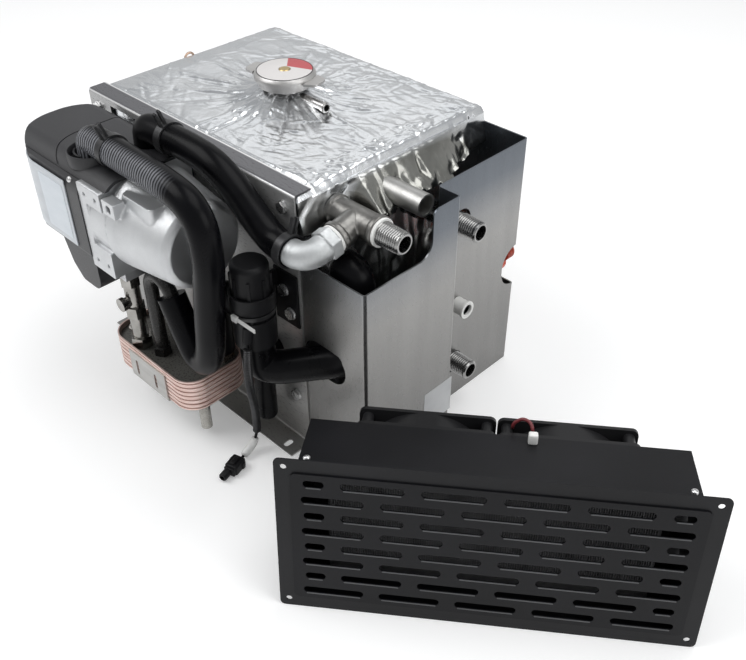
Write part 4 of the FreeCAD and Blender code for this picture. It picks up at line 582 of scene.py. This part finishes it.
# Hose elbow: malleable iron, cast in sand and dipped in hot zinc, so it is pale
# and softly uneven. It is screwed into the tee's branch.
zinced_iron = finish(
    "zinced_iron", (0.46, 0.475, 0.48), (0.62, 0.635, 0.64), 1.0, (0.46, 0.62), 55, 380,
    bump=0.16, depth=0.3 * mm)
cast_copy("zinced_elbow", "hose_elbow", zinced_iron, 0.7 * mm, 5)


# Threaded nipples: half-inch pipe, chromed, with cut threads on the free ends.
# The tee's nipple is sealed with white tape, and the side ones have hexagon
# collars behind the side cover.
def thread_profile(hidden, free, bore):
    """Closed outline of a pipe whose free end is threaded."""
    pitch, depth, crest, taper = 2.3 * mm, 1.1 * mm, 11.2 * mm, 0.04
    points = [(bore, 0), (crest, 0), (crest, hidden)]
    height = hidden
    end = hidden + free - 1.4 * mm
    while height + pitch < end:
        points.append((crest - depth, height + 0.35 * pitch))
        points.append((crest - depth, height + 0.5 * pitch))
        crest -= taper * pitch
        points.append((crest, height + 0.85 * pitch))
        points.append((crest, height + pitch))
        height += pitch
    points.append((crest, end))
    points.append((crest - 1.2 * mm, hidden + free))
    points.append((bore, hidden + free))
    return points


pipe_chrome = finish(
    "pipe_chrome", (0.26, 0.26, 0.26), (0.38, 0.378, 0.37), 1.0, (0.2, 0.3), 90, 800, bump=0.03)
pipe_bore, pipe_steps, hexagon = 7.5 * mm, 56, 6
tip_low, tip_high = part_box("outlet_nipple")
tip_base = (tip_low.x, (tip_low.y + tip_high.y) / 2, (tip_low.z + tip_high.z) / 2)
thread_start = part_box("tee_fitting")[1].x + 3 * mm
outlet_outline = thread_profile(thread_start - tip_low.x, tip_high.x - thread_start, pipe_bore)
outlet = turned(outlet_outline, tip_base, (1, 0, 0), pipe_steps)
new_piece("outlet_thread", outlet, pipe_chrome, ["outlet_nipple"], 30)

sides_low, sides_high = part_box("side_nipples")
sides_y = (sides_low.y + sides_high.y) / 2
side_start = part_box("drain_outlet")[1].x - 14 * mm
collar_radius, collar_width = 15.6 * mm, 9 * mm
collar_outline = [
    (pipe_bore, 0), (collar_radius, 0), (collar_radius, collar_width), (pipe_bore, collar_width)]
side_outline = thread_profile(side_start - sides_low.x, sides_high.x - side_start, pipe_bore)
side_threads = []
for z in (sides_low.z + collar_radius, sides_high.z - collar_radius):
    base = (sides_low.x, sides_y, z)
    side_threads.append(turned(side_outline, base, (1, 0, 0), pipe_steps))
    side_threads.append(turned(collar_outline, base, (1, 0, 0), hexagon))
new_piece("side_threads", joined(*side_threads), pipe_chrome, ["side_nipples"], 30)

sealing_tape = finish(
    "sealing_tape", (0.80, 0.80, 0.78), (0.92, 0.92, 0.90), 0.0, (0.5, 0.7), 300, 1500,
    grain=(1, 4, 1), bump=0.4, depth=0.4 * mm)
dress("thread_tape", sealing_tape, 0.5 * mm)


# Drain outlet: spigot of white plastic, injection moulded and pushed through the
# side cover.
white_plastic = finish("white_plastic", (0.76, 0.76, 0.74), (0.84, 0.84, 0.82), 0.0, (0.3, 0.42), 30, 600)
dress("drain_outlet", white_plastic, 0.6 * mm)


# Relief valve: nickelled brass body behind the notch in the side cover, with a
# fluted red test knob. The knob has an ear, by which it is turned.
nickel = finish(
    "nickelled_brass", (0.34, 0.33, 0.305), (0.48, 0.47, 0.44), 1.0, (0.22, 0.34), 70, 600, bump=0.02)
dress("relief_valve", nickel, 0.4 * mm)
red_plastic = finish("red_plastic", (0.58, 0.08, 0.04), (0.68, 0.12, 0.06), 0.0, (0.3, 0.42), 30, 700)
dress("relief_knob", red_plastic, 0.8 * mm)


def test_ear():
    """Ear of the test knob: the hull of two discs."""
    low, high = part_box("relief_knob")
    hub = (low + high) / 2
    ear_back, ear_thick = 8.3, 10 * mm
    upright = Matrix.Rotation(math.pi / 2, 4, "X")
    bm = bmesh.new()
    for along, up, radius in ((2, 2, 11 * mm), (11, 9, 10.5 * mm)):
        place = Matrix.Translation(hub + Vector((along, ear_back, up)) * mm) @ upright
        bmesh.ops.create_cone(
            bm, cap_ends=True, segments=32, radius1=radius, radius2=radius, depth=ear_thick, matrix=place)
    hull = bmesh.ops.convex_hull(bm, input=bm.verts)
    unused = set(hull["geom_interior"] + hull["geom_unused"])
    bmesh.ops.delete(bm, geom=[g for g in unused if isinstance(g, bmesh.types.BMVert)], context="VERTS")
    bmesh.ops.recalc_face_normals(bm, faces=bm.faces)
    knob_body = next(j["child"] for j in frame["joints"] if j["name"] == "relief_turn")
    new_piece("test_ear", bm, red_plastic, body=knob_body)


test_ear()


# Side sticker: a bare piece of pale paper with a glued back, stuck low on the
# right face of the side cover.
def rounded(bm, edges, offset, segments):
    bmesh.ops.bevel(
        bm, geom=edges, offset=offset, offset_type="OFFSET", segments=segments, profile=0.5,
        affect="EDGES", material=-1)


def bare_panel(name, low, high, thin, material, round_edge):
    """Flat plate with rounded corners between two corners, thin along one axis."""
    bm = bmesh.new()
    bmesh.ops.create_cube(bm, size=1)
    low, high = Vector(low), Vector(high)
    size = high - low
    bmesh.ops.scale(bm, vec=size, verts=bm.verts)
    bmesh.ops.translate(bm, vec=(low + high) / 2, verts=bm.verts)
    short = [e for e in bm.edges if abs((e.verts[0].co - e.verts[1].co)[thin]) > 0.5 * size[thin]]
    rounded(bm, short, round_edge, 5)
    new_piece(name, bm, material)


sticker_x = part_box("side_cover")[1].x
pale_paper = finish("pale_paper", (0.50, 0.51, 0.52), (0.58, 0.59, 0.60), 0.0, (0.4, 0.55), 40, 500)
bare_panel(
    "side_sticker", (sticker_x - 0.05 * mm, -43 * mm, 20 * mm), (sticker_x + 0.25 * mm, -2 * mm, 64 * mm),
    thin=0, material=pale_paper, round_edge=1 * mm)


# Blower housing and intake: black glass-filled nylon with a fine spark-eroded
# texture that shows grey in the light. The motor and its wheel are inside.
def grained_plastic(name, dark, light, gloss):
    made = finish(name, dark, light, 0.0, (0.36, 0.5), 12, 1800, bump=0.2, depth=0.15 * mm)
    made.node_tree.nodes["Principled BSDF"].inputs["Specular IOR Level"].default_value = gloss
    return made


black_nylon = grained_plastic("black_nylon", (0.020, 0.020, 0.022), (0.030, 0.030, 0.033), 0.55)
dress("blower_housing", black_nylon, 0.8 * mm)
dress("intake_housing", black_nylon, 1.2 * mm)
dress("blower_wheel", black_nylon, 0.3 * mm)
dark_motor = finish("motor_can", (0.24, 0.24, 0.25), (0.34, 0.34, 0.35), 1.0, (0.3, 0.45))
dress("blower_motor", dark_motor, 0.3 * mm)


# Data cover: aluminium sheet bent round the housing's front, lacquered pale,
# with a bare panel on it. The top cover is held by bright screws over it.
pale_lacquer = finish(
    "pale_lacquer", (0.50, 0.53, 0.56), (0.60, 0.63, 0.66), 0.2, (0.3, 0.42), 14, 500,
    grain=(1, 1, 5), bump=0.05)
dress("data_cover", pale_lacquer, 0.3 * mm)
plate_low, plate_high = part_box("data_cover")
bare_label = finish(
    "bare_label", (0.62, 0.67, 0.72), (0.70, 0.745, 0.79), 0.0, (0.28, 0.4), 22, 300,
    grain=(1, 1, 3), bump=0.05)
bare_panel(
    "data_panel", (plate_high.x - 47 * mm, plate_low.y - 0.3 * mm, plate_low.z + 6 * mm),
    (plate_high.x - 5 * mm, plate_low.y + 0.1 * mm, plate_high.z - 7 * mm),
    thin=1, material=bare_label, round_edge=2 * mm)


def sized(outline):
    """Outline in metres of one in millimetres."""
    return [(r * mm, h * mm) for r, h in outline]


def pan_screw(place, way):
    """Pan-head screw with a turned dome."""
    dome = [(0, -1.5), (3.0, -1.5), (3.0, 0.4), (2.6, 1.2), (1.6, 1.8), (0.7, 1.9), (0.6, 1.3), (0, 1.2)]
    return turned(sized(dome), Vector(place) * mm, way, 20, False)


cover_seats = [
    ((-158.5, -221.7, 270.5), (-0.50, -0.83, 0.25)), ((-73.5, -227.3, 275), (0, -0.89, 0.46))]
cover_screws = joined(*(pan_screw(place, way) for place, way in cover_seats))
new_piece("cover_screws", cover_screws, bright_zinc)


# Burner block and water jacket: sand-cast aluminium, shot-blasted to an even
# pale grey, with soft edges from the mould. The flame tube inside and the
# exhaust stub below are bright steel.
blasted = finish(
    "blasted_aluminium", (0.56, 0.57, 0.58), (0.66, 0.67, 0.68), 1.0, (0.42, 0.55), 25, 950,
    bump=0.28, depth=0.25 * mm)
cast_copy("cast_burner_block", "burner_block", blasted, 1.0 * mm, 3)
cast_copy("cast_water_jacket", "water_jacket", blasted, 1.0 * mm, 4)
dress("water_ports", blasted, 0.3 * mm)
dress("flame_tube", bright_steel, 0)
dress("exhaust_stub", bright_steel, 0.3 * mm)


# Coolant hoses: moulded black rubber, smooth and a little shiny, held by black
# spring clamps and a zinc band in the bay. The supply hose has a ribbed fabric
# skin where it comes out of the nylon cup round its port, and its ribs carry a painted highlight.
def rib_height(tree, place):
    """Fabric ribs across the hose, which fade out along it, below it and behind it; they also mask a painted
    highlight on the lit upper front.
    """
    inputs = {"Vector": place, "Scale": 92.0, "Distortion": 2.4, "Detail": 2.0}
    height = added(tree, "TexWave", inputs, bands_direction="X")["Fac"]
    axes = axes_of(tree, place)
    for axis, start, end in (("X", 62, 40), ("Z", 278, 288), ("Y", -199, -207)):
        height = reckoned(tree, "MULTIPLY", height, stretched(tree, axes[axis], start * mm, end * mm))
    return height


def rubber_skin(name, ribbed):
    made, tree, shader, place = blank_material(name, 0.0)
    shader.inputs["Specular IOR Level"].default_value = 0.1
    spots = mottled(tree, place, 30.0, 900.0)
    tree.links.new(ranged(tree, spots["Patches"], 0.24, 0.34), shader.inputs["Roughness"])
    if ribbed:
        height = rib_height(tree, place)
        # Painted highlight: the rib crests are painted light grey on the lit side of the hose.
        tone = mixed(tree, height, (0.003, 0.003, 0.004), (0.22, 0.225, 0.245))
        relief(tree, shader, height, 0.5, 0.6 * mm)
    else:
        tone = mixed(tree, spots["Patches"], (0.002, 0.002, 0.0025), (0.005, 0.005, 0.006))
        relief(tree, shader, spots["Speckle"], 0.06, 0.15 * mm)
    tree.links.new(tone, shader.inputs["Base Color"])
    return made


def smooth_line(name, route, fineness):
    """Curve led by control points in millimetres, from the first to the last."""
    curve = bpy.data.curves.new(name, "CURVE")
    curve.dimensions = "3D"
    curve.resolution_u = fineness
    line = curve.splines.new("NURBS")
    line.points.add(len(route) - 1)
    for point, place in zip(line.points, route):
        point.co = (*(Vector(place) * mm), 1)
    line.order_u = 3
    line.use_endpoint_u = True
    return curve


def bent_tube(name, route, radius, material, stands_for):
    curve = smooth_line(name, route, 12)
    curve.bevel_depth = radius
    curve.bevel_resolution = 10
    curve.use_fill_caps = True
    return placed(name, curve, material, stands_for)


supply_route = [
    (-75, -198, 283), (-75, -198, 293), (-74, -198, 303), (-64, -198, 305.5), (-30, -198.4, 305),
    (10, -199, 305), (46, -200, 304.5), (72, -200, 300), (88, -200, 284), (91, -200, 250),
    (83, -198.6, 215), (75, -197, 178), (69, -195.5, 148), (61, -194, 125), (49, -193, 110),
    (36, -192.5, 113), (25, -192, 130), (16, -192, 149), (7.1, -192, 167.8),
]
return_route = [
    (-58.5, -149, 283), (-58.5, -149, 292), (-57.5, -149, 303), (-46, -148.6, 305.5), (-20, -147.8, 305),
    (8, -146.8, 304.5), (36, -145.8, 301), (62, -144.4, 286), (84, -143.2, 267), (102, -142.6, 254),
    (116, -142.6, 250.1), (130, -142.6, 250.1),
]
pump_route = [
    (97, -164, 150), (97, -164, 136), (98, -163, 121), (108, -155, 115.5), (126, -140, 120),
    (143, -126, 125), (156, -115, 128), (164, -108, 138), (165, -103, 156), (165, -100, 180),
    (165, -98, 206), (160, -98, 220), (143, -98, 222), (118, -98, 222),
]
plain_rubber = rubber_skin("plain_rubber", False)
ribbed_rubber = rubber_skin("ribbed_rubber", True)
hose_radius, pump_hose_radius = 14 * mm, 16.5 * mm
for hose, route, radius, skin in (
        ("supply_hose", supply_route, hose_radius, ribbed_rubber),
        ("return_hose", return_route, hose_radius, plain_rubber),
        ("pump_hose", pump_route, pump_hose_radius, plain_rubber)):
    bent_tube(hose + "_rubber", route, radius, skin, [hose])
dress("inlet_hose", plain_rubber, 0.5 * mm)
dress("drain_hose", plain_rubber, 0.5 * mm)
black_spring = finish(
    "black_spring_steel", (0.03, 0.03, 0.032), (0.06, 0.06, 0.062), 0.6, (0.3, 0.42), 60, 800)
dress("hose_clamps", black_spring, 0.3 * mm)
band_place, cup_place = Vector((137, -98, 221.6)) * mm, Vector((-74.5, -202, 288)) * mm
band_outline = [
    (16.3, 0), (18.4, 0), (18.4, 1.4), (17.5, 1.8), (17.5, 8.2), (18.4, 8.6), (18.4, 10), (16.3, 10)]
bay_band = turned(sized(band_outline), band_place, (1, 0, 0), 56)
new_piece("bay_band", bay_band, bright_zinc, (), 30)
cup_outline = [(18.6, -4), (20.6, -4), (20.6, 7), (20, 8), (19.2, 8), (18.6, 7)]
port_cup = turned(sized(cup_outline), cup_place, (0, 0, 1), 48)
new_piece("port_cup", port_cup, black_nylon)


# Plate exchanger: brazed copper-faced plates, whose edges show as pink ridges,
# held in a stainless strap with two slots. Its top plate is painted dark as the
# dark reflection it shows, and a stud stands on it.
copper_edges = finish(
    "copper_edges", (0.66, 0.47, 0.42), (0.86, 0.70, 0.65), 0.85, (0.36, 0.5), 45, 500,
    grain=(1, 1, 6), bump=0.12, depth=0.3 * mm)
dress("exchanger_pack", copper_edges, 0.4 * mm)
# Painted reflection: the end plates are darkened to stand for the dark surroundings they mirror.
dark_plate = finish("dark_plate", (0.11, 0.108, 0.098), (0.16, 0.157, 0.145), 0.4, (0.24, 0.36), 30, 500)
dress("exchanger_ends", dark_plate, 0.5 * mm)
dress("exchanger_fittings", nickel, 0.4 * mm)
strap_steel = finish(
    "strap_steel", (0.42, 0.415, 0.40), (0.52, 0.515, 0.50), 0.9, (0.3, 0.38), 20, 300,
    grain=(1, 1, 6), bump=0.01)
dress("exchanger_strap", strap_steel, 0.4 * mm)


def deck_stud(place, length):
    """Threaded stud standing on the exchanger's top plate."""
    crest, root, pitch, flank = 4.0 * mm, 3.4 * mm, 1.25 * mm, 0.6 * mm
    outline = [(0, 0)]
    height = 0.0
    while height < length:
        outline += [(crest, height), (root, height + flank)]
        height += pitch
    outline += [(root, length + flank), (0, length + flank)]
    return turned(outline, Vector(place) * mm, (0, 0, 1), 20, False)


stud_foot, stud_length = (-45, -185, 78), 22 * mm
new_piece("deck_studs", deck_stud(stud_foot, stud_length), bright_zinc, (), 30)


# Swan-neck pipe and isolating union: bent steel pipe, painted near black as the shade
# it sits in, up to the supply hose, and a bright zinc casting between the exchanger and the burner.
# Painted shade: the pipe is near black so that it sits in the shadow under the burner.
black_pipe = finish("black_pipe", (0.012, 0.012, 0.012), (0.03, 0.029, 0.028), 0.5, (0.22, 0.36), 60, 600)
dress("swan_neck", black_pipe, 0.3 * mm)
cast_zinc = finish(
    "cast_zinc", (0.27, 0.262, 0.245), (0.40, 0.39, 0.37), 1.0, (0.15, 0.26), 90, 420,
    bump=0.2, depth=0.4 * mm)
dress("isolating_union", cast_zinc, 0.6 * mm)


# Circulation pump: black plastic head and motor, held to the web by a strap that
# is painted black as shade, with a clear cable tie round the motor, whose ring is painted dark as shade.
pump_black = grained_plastic("pump_black", (0.006, 0.006, 0.007), (0.010, 0.010, 0.011), 0.16)
dress("pump_body", pump_black, 0.6 * mm)
dress("pump_impeller", pump_black, 0.3 * mm)
# Painted shade: the strap is given the pump's black because it sits in shadow.
dress("pump_strap", pump_black, 0.3 * mm)


def tie_nylon():
    """Pale nylon at the tie's head and tail, and painted shade where it lies round the motor."""
    made, tree, shader, place = blank_material("tie_nylon", 0.0)
    shader.inputs["Roughness"].default_value = 0.35
    free = stretched(tree, axes_of(tree, place)["Y"], -184.7 * mm, -185.2 * mm)
    # Painted shade: the ring round the motor is near black, and the free head and tail are pale.
    tone = mixed(tree, free, (0.012, 0.012, 0.013), (0.55, 0.55, 0.54))
    tree.links.new(tone, shader.inputs["Base Color"])
    return made


dress("cable_tie", tie_nylon(), 0.2 * mm)


# Pump lead: thin black lead from its gland down to the floor, in a corrugated
# sleeve most of the way, with a pale boot behind its black plug.
lead_route = [
    (110, -184, 163), (113, -189, 146), (112, -189, 120), (107, -184, 96), (100, -177, 72), (94, -173, 52),
    (90, -170, 36), (87, -171, 20), (85.2, -175, 11.5), (84.8, -182.5, 6.6), (88, -193, 5),
]
lead_diameter = 3 * mm
lead = bent_tube("pump_lead", lead_route, lead_diameter / 2, plain_rubber, ["floor_lead"])


def line_points(route):
    """Points along the smooth line of a route."""
    curve = smooth_line("line", route, 24)
    holder = bpy.data.objects.new("line", curve)
    mesh = bpy.data.meshes.new_from_object(holder)
    points = [vert.co.copy() for vert in mesh.vertices]
    bpy.data.objects.remove(holder)
    bpy.data.curves.remove(curve)
    bpy.data.meshes.remove(mesh)
    return points


def ringed_tube(stations, sides=14):
    """Tube of circles (place, way, radius) joined one to the next, closed at both ends."""
    bm = bmesh.new()
    rings = []
    for place, way, radius in stations:
        turn = way.to_track_quat("Z", "Y").to_matrix().to_4x4()
        made = bmesh.ops.create_circle(
            bm, segments=sides, radius=radius, cap_ends=False, matrix=Matrix.Translation(place) @ turn)
        verts = set(made["verts"])
        rings.append([e for e in bm.edges if e.verts[0] in verts and e.verts[1] in verts])
    for ring, following in zip(rings, rings[1:]):
        bmesh.ops.bridge_loops(bm, edges=ring + following)
    for ring in (rings[0], rings[-1]):
        bmesh.ops.contextual_create(bm, geom=ring)
    bmesh.ops.recalc_face_normals(bm, faces=bm.faces)
    return bm


def stations_along(points, first, last, step, radius_at):
    """Places at even steps along a line of points, with the line's way and a radius there."""
    made = []
    walked, target = 0.0, first
    for start, end in zip(points, points[1:]):
        run, way = (end - start).length, (end - start).normalized()
        while target <= walked + run and target <= last:
            made.append((start.lerp(end, (target - walked) / run), way, radius_at(target)))
            target += step
        walked += run
    return made


lead_line = line_points(lead_route)
sleeve_start, sleeve_end, sleeve_step = 6 * mm, 138 * mm, 0.9 * mm
sleeve_stations = stations_along(
    lead_line, sleeve_start, sleeve_end, sleeve_step,
    lambda way: (4.1 if round(way / sleeve_step) % 2 else 3.5) * mm)
sleeve = new_piece("lead_sleeve", ringed_tube(sleeve_stations), black_spring, (), 50)
boot_shape = [
    (149, 2.0), (150, 3.6), (153, 4.3), (158, 4.6), (164, 4.6), (169, 4.4), (172, 3.8), (173, 2.2)]
boot_stations = []
for place, radius in boot_shape:
    boot_stations += stations_along(lead_line, place * mm, place * mm, 1.0, lambda way, r=radius: r * mm)
pale_boot = finish("pale_boot", (0.74, 0.74, 0.73), (0.84, 0.84, 0.83), 0.0, (0.3, 0.45), 90, 700)
boot = new_piece("lead_boot", ringed_tube(boot_stations, 20), pale_boot)


def rounded_box(length, width, height, place, round_edge):
    """Box with broken edges, all in millimetres, along the axes until it is turned."""
    bm = bmesh.new()
    bmesh.ops.create_cube(bm, size=1)
    bmesh.ops.scale(bm, vec=Vector((length, width, height)) * mm, verts=bm.verts)
    bmesh.ops.translate(bm, vec=Vector(place) * mm, verts=bm.verts)
    rounded(bm, bm.edges[:], round_edge * mm, 3)
    return bm


def plug_shell():
    """Two-pole plug: stepped shell with a rib, a latch and a round nose."""
    nose = [(0, 0), (4.4, 0), (4.4, 9.4), (3.6, 10.4), (2.6, 10.4), (2.6, 4), (0, 4)]
    bm = joined(
        rounded_box(17, 14, 11, (9.5, 0, 6), 1.6), rounded_box(5, 17, 8, (6, 0, 5.5), 1.2),
        rounded_box(10, 5, 3, (10, 0, 12), 0.8), rounded_box(4, 12, 9, (19, 0, 6), 1.0),
        turned(sized(nose), Vector((20, -1.5, 6)) * mm, (1, 0, 0), 24, False))
    end = Vector(lead_route[-1]) * mm
    along = Vector(lead_route[-1]) - Vector(lead_route[-2])
    turn = Matrix.Rotation(math.atan2(along.y, along.x), 4, "Z")
    foot = Matrix.Translation((end.x, end.y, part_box("lead_plug")[0].z))
    bmesh.ops.transform(bm, matrix=foot @ turn, verts=bm.verts)
    return new_piece("plug_shell", bm, pump_black, ["lead_plug"])


plug = plug_shell()
dress("lead_gland", pump_black, 0.4 * mm)


# Warm-air unit: folded steel box and flange with a slotted grille, in black
# powder coat with a fine orange-peel skin. The slots are pressed, so their lower
# lips stand out a little, painted lighter as a highlight. Behind them are the coil's close fins.
black_paint = grained_plastic("black_paint", (0.005, 0.005, 0.006), (0.009, 0.009, 0.011), 0.26)
grille_paint = grained_plastic("grille_paint", (0.005, 0.005, 0.006), (0.008, 0.008, 0.010), 0.2)
dress("air_housing", black_paint, 0.4 * mm)
dress("front_grille", grille_paint, 0.8 * mm)
coil_fins = finish("coil_fins", (0.10, 0.10, 0.105), (0.15, 0.15, 0.155), 0.3, (0.4, 0.55), 60, 900)
dress("air_coil", coil_fins, 0)
face_low, face_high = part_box("front_grille")
face_yaw, face_lean = math.radians(37.25), math.radians(7.85)
face_turn = Matrix.Rotation(face_yaw, 4, "Z") @ Matrix.Rotation(-face_lean, 4, "X")
face_place = Matrix.Translation((face_low + face_high) / 2) @ face_turn


def box_row(size, places, round_edge=0.0):
    """Like boxes, each of a size in millimetres, set along the grille's own directions."""
    bm = bmesh.new()
    for place in places:
        made = bmesh.ops.create_cube(bm, size=1)
        bmesh.ops.scale(bm, vec=Vector(size) * mm, verts=made["verts"])
        bmesh.ops.translate(bm, vec=Vector(place) * mm, verts=made["verts"])
    if round_edge:
        rounded(bm, bm.edges[:], round_edge * mm, 2)
    bmesh.ops.transform(bm, matrix=face_place, verts=bm.verts)
    return bm


def centred_row(count, pitch, out, height):
    """Places at an even pitch, with their middle on the grille's centre line."""
    return [((k - (count - 1) / 2) * pitch, out, height) for k in range(count)]


def slot_lips():
    """Lower lips of the slots, in eight rows that are set off by half a slot."""
    rows, row_pitch, slot_pitch, lip_drop = 8, 16.5, 64, 3.9
    long_lip, short_lip, short_pitch = (46, 1.0, 1.0), (12, 1.0, 1.0), 286
    lip_out, lip_round = -0.8, 0.3
    lips = []
    for row in range(rows):
        height = ((rows - 1) / 2 - row) * row_pitch - lip_drop
        count = 5 if row % 2 else 4
        lips.append(box_row(long_lip, centred_row(count, slot_pitch, lip_out, height), lip_round))
        if count == 4:
            lips.append(box_row(short_lip, centred_row(2, short_pitch, lip_out, height), lip_round))
    return joined(*lips)


# Painted highlight: the lips are painted lighter than the grille, as the light catching their up-facing
# edges.
worn_paint = grained_plastic("worn_paint", (0.07, 0.072, 0.076), (0.10, 0.103, 0.108), 0.5)
new_piece("slot_lips", slot_lips(), worn_paint)
fin_count, fin_pitch, fin_height, fin_front, fin_middle = 134, 2.0, 88, 29, -4
fin_rows = box_row((0.7, 4, fin_height), centred_row(fin_count, fin_pitch, fin_front, fin_middle))
fin_back = box_row((fin_count * fin_pitch, 0.6, fin_height), [(0, fin_front + 2, fin_middle)])
new_piece("fin_stack", joined(fin_rows, fin_back), coil_fins)
dress("air_screws", bright_zinc, 0.2 * mm)
box_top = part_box("air_screws")[1].z - 0.3 * mm
lid_corners = (235.5, -228), (477.5, -43)
lid_screws = joined(*(pan_screw((x, y, box_top / mm), (0, 0, 1)) for x, y in lid_corners))
new_piece("lid_screws", lid_screws, bright_zinc)


# Fans: two square axial fans, moulded in black plastic and screwed to the back of
# the box. Their rotors turn on pins in the frames.
fan_plastic = grained_plastic("fan_plastic", (0.008, 0.008, 0.009), (0.013, 0.013, 0.014), 0.35)
for node in ("fan_frames", "fan_rotor_left", "fan_rotor_right"):
    dress(node, fan_plastic, 0.5 * mm)


# Fan lead: red wire over the right fan's corner, with a white plastic joint
# pushed on its end.
wire_red = finish("wire_red", (0.14, 0.020, 0.025), (0.22, 0.035, 0.04), 0.0, (0.3, 0.45))
dress("fan_lead", wire_red, 0)
joint_low, joint_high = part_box("fan_joint")
joint_length, joint_width, joint_back, joint_short, joint_round = 8, 7, 0.9, 1, 1.6
joint_height = (joint_high.z - joint_low.z) / mm - joint_short
joint_shell = rounded_box(joint_length, joint_width, joint_height, (0, joint_back, 0), joint_round)
joint_place = (joint_low + joint_high) / 2 - Vector((0, 0, joint_short / 2)) * mm
bmesh.ops.transform(joint_shell, matrix=Matrix.Translation(joint_place) @ face_turn, verts=joint_shell.verts)
new_piece("joint_shell", joint_shell, white_plastic, ["fan_joint"])


# Stage: pale floor that glows a little where it is seen, a pale sky, four soft
# boxes and the camera at the photographed angle.
def studio_floor():
    made = bpy.data.materials.new("pale_floor")
    made.use_nodes = True
    tree = made.node_tree
    shader = tree.nodes["Principled BSDF"]
    shader.inputs["Base Color"].default_value = (0.90, 0.90, 0.90, 1)
    shader.inputs["Roughness"].default_value = 0.85
    shader.inputs["Emission Color"].default_value = (1, 1, 1, 1)
    rays = added(tree, "LightPath", {})
    shown = rays["Is Camera Ray"]
    for label in ("Is Glossy Ray", "Is Transmission Ray"):
        shown = reckoned(tree, "MAXIMUM", shown, rays[label])
    tree.links.new(reckoned(tree, "MULTIPLY", shown, 0.2), shader.inputs["Emission Strength"])
    bm = bmesh.new()
    bmesh.ops.create_grid(bm, x_segments=1, y_segments=1, size=8)
    mesh = bpy.data.meshes.new("studio_floor")
    bm.to_mesh(mesh)
    bm.free()
    mesh.materials.append(made)
    floor = bpy.data.objects.new("studio_floor", mesh)
    bpy.context.scene.collection.objects.link(floor)


def soft_box(name, place, target, width, height, power):
    lamp = bpy.data.lights.new(name, "AREA")
    lamp.shape = "RECTANGLE"
    lamp.size, lamp.size_y = width, height
    lamp.energy = power
    holder = bpy.data.objects.new(name, lamp)
    holder.location = place
    holder.rotation_euler = (Vector(target) - Vector(place)).to_track_quat("-Z", "Y").to_euler()
    bpy.context.scene.collection.objects.link(holder)


def studio_world():
    world = bpy.data.worlds.new("studio")
    world.use_nodes = True
    tree = world.node_tree
    light = tree.nodes["Background"]
    place = added(tree, "TexCoord", {})["Generated"]
    rise = stretched(tree, axes_of(tree, place)["Z"], -0.1, 0.9)
    tone = mixed(tree, rise, (0.88, 0.88, 0.88), (0.42, 0.43, 0.44))
    tree.links.new(tone, light.inputs["Color"])
    light.inputs["Strength"].default_value = 0.75
    bpy.context.scene.world = world


def photo_camera():
    azimuth, elevation, roll = (math.radians(a) for a in (44.88, 38.42, -0.48))
    level = math.cos(elevation)
    back = Vector((math.sin(azimuth) * level, -math.cos(azimuth) * level, math.sin(elevation)))
    lens = bpy.data.cameras.new("photo_camera")
    lens.sensor_width = 36
    lens.lens = 44.6
    camera = bpy.data.objects.new("photo_camera", lens)
    aim = (-back).to_track_quat("-Z", "Y").to_matrix().to_4x4()
    camera.matrix_world = Matrix.Translation((0.6411, -0.5584, 0.6846)) @ aim @ Matrix.Rotation(roll, 4, "Z")
    bpy.context.scene.collection.objects.link(camera)
    bpy.context.scene.camera = camera


studio_floor()
studio_world()
soft_box("key", (-0.9, -1.1, 1.9), (0.05, -0.05, 0.1), 1.4, 1.4, 22)
soft_box("top", (0.5, 0.4, 2.1), (0.1, 0, 0.1), 1.8, 1.2, 18)
soft_box("fill", (1.9, 0.4, 1.2), (0.1, 0, 0.15), 1.2, 1.2, 10)
soft_box("sky", (-1.5, 1.55, 1.9), (0, 0, 0.25), 1.5, 1.1, 3.2)
photo_camera()
bpy.context.scene.view_settings.view_transform = "Standard"
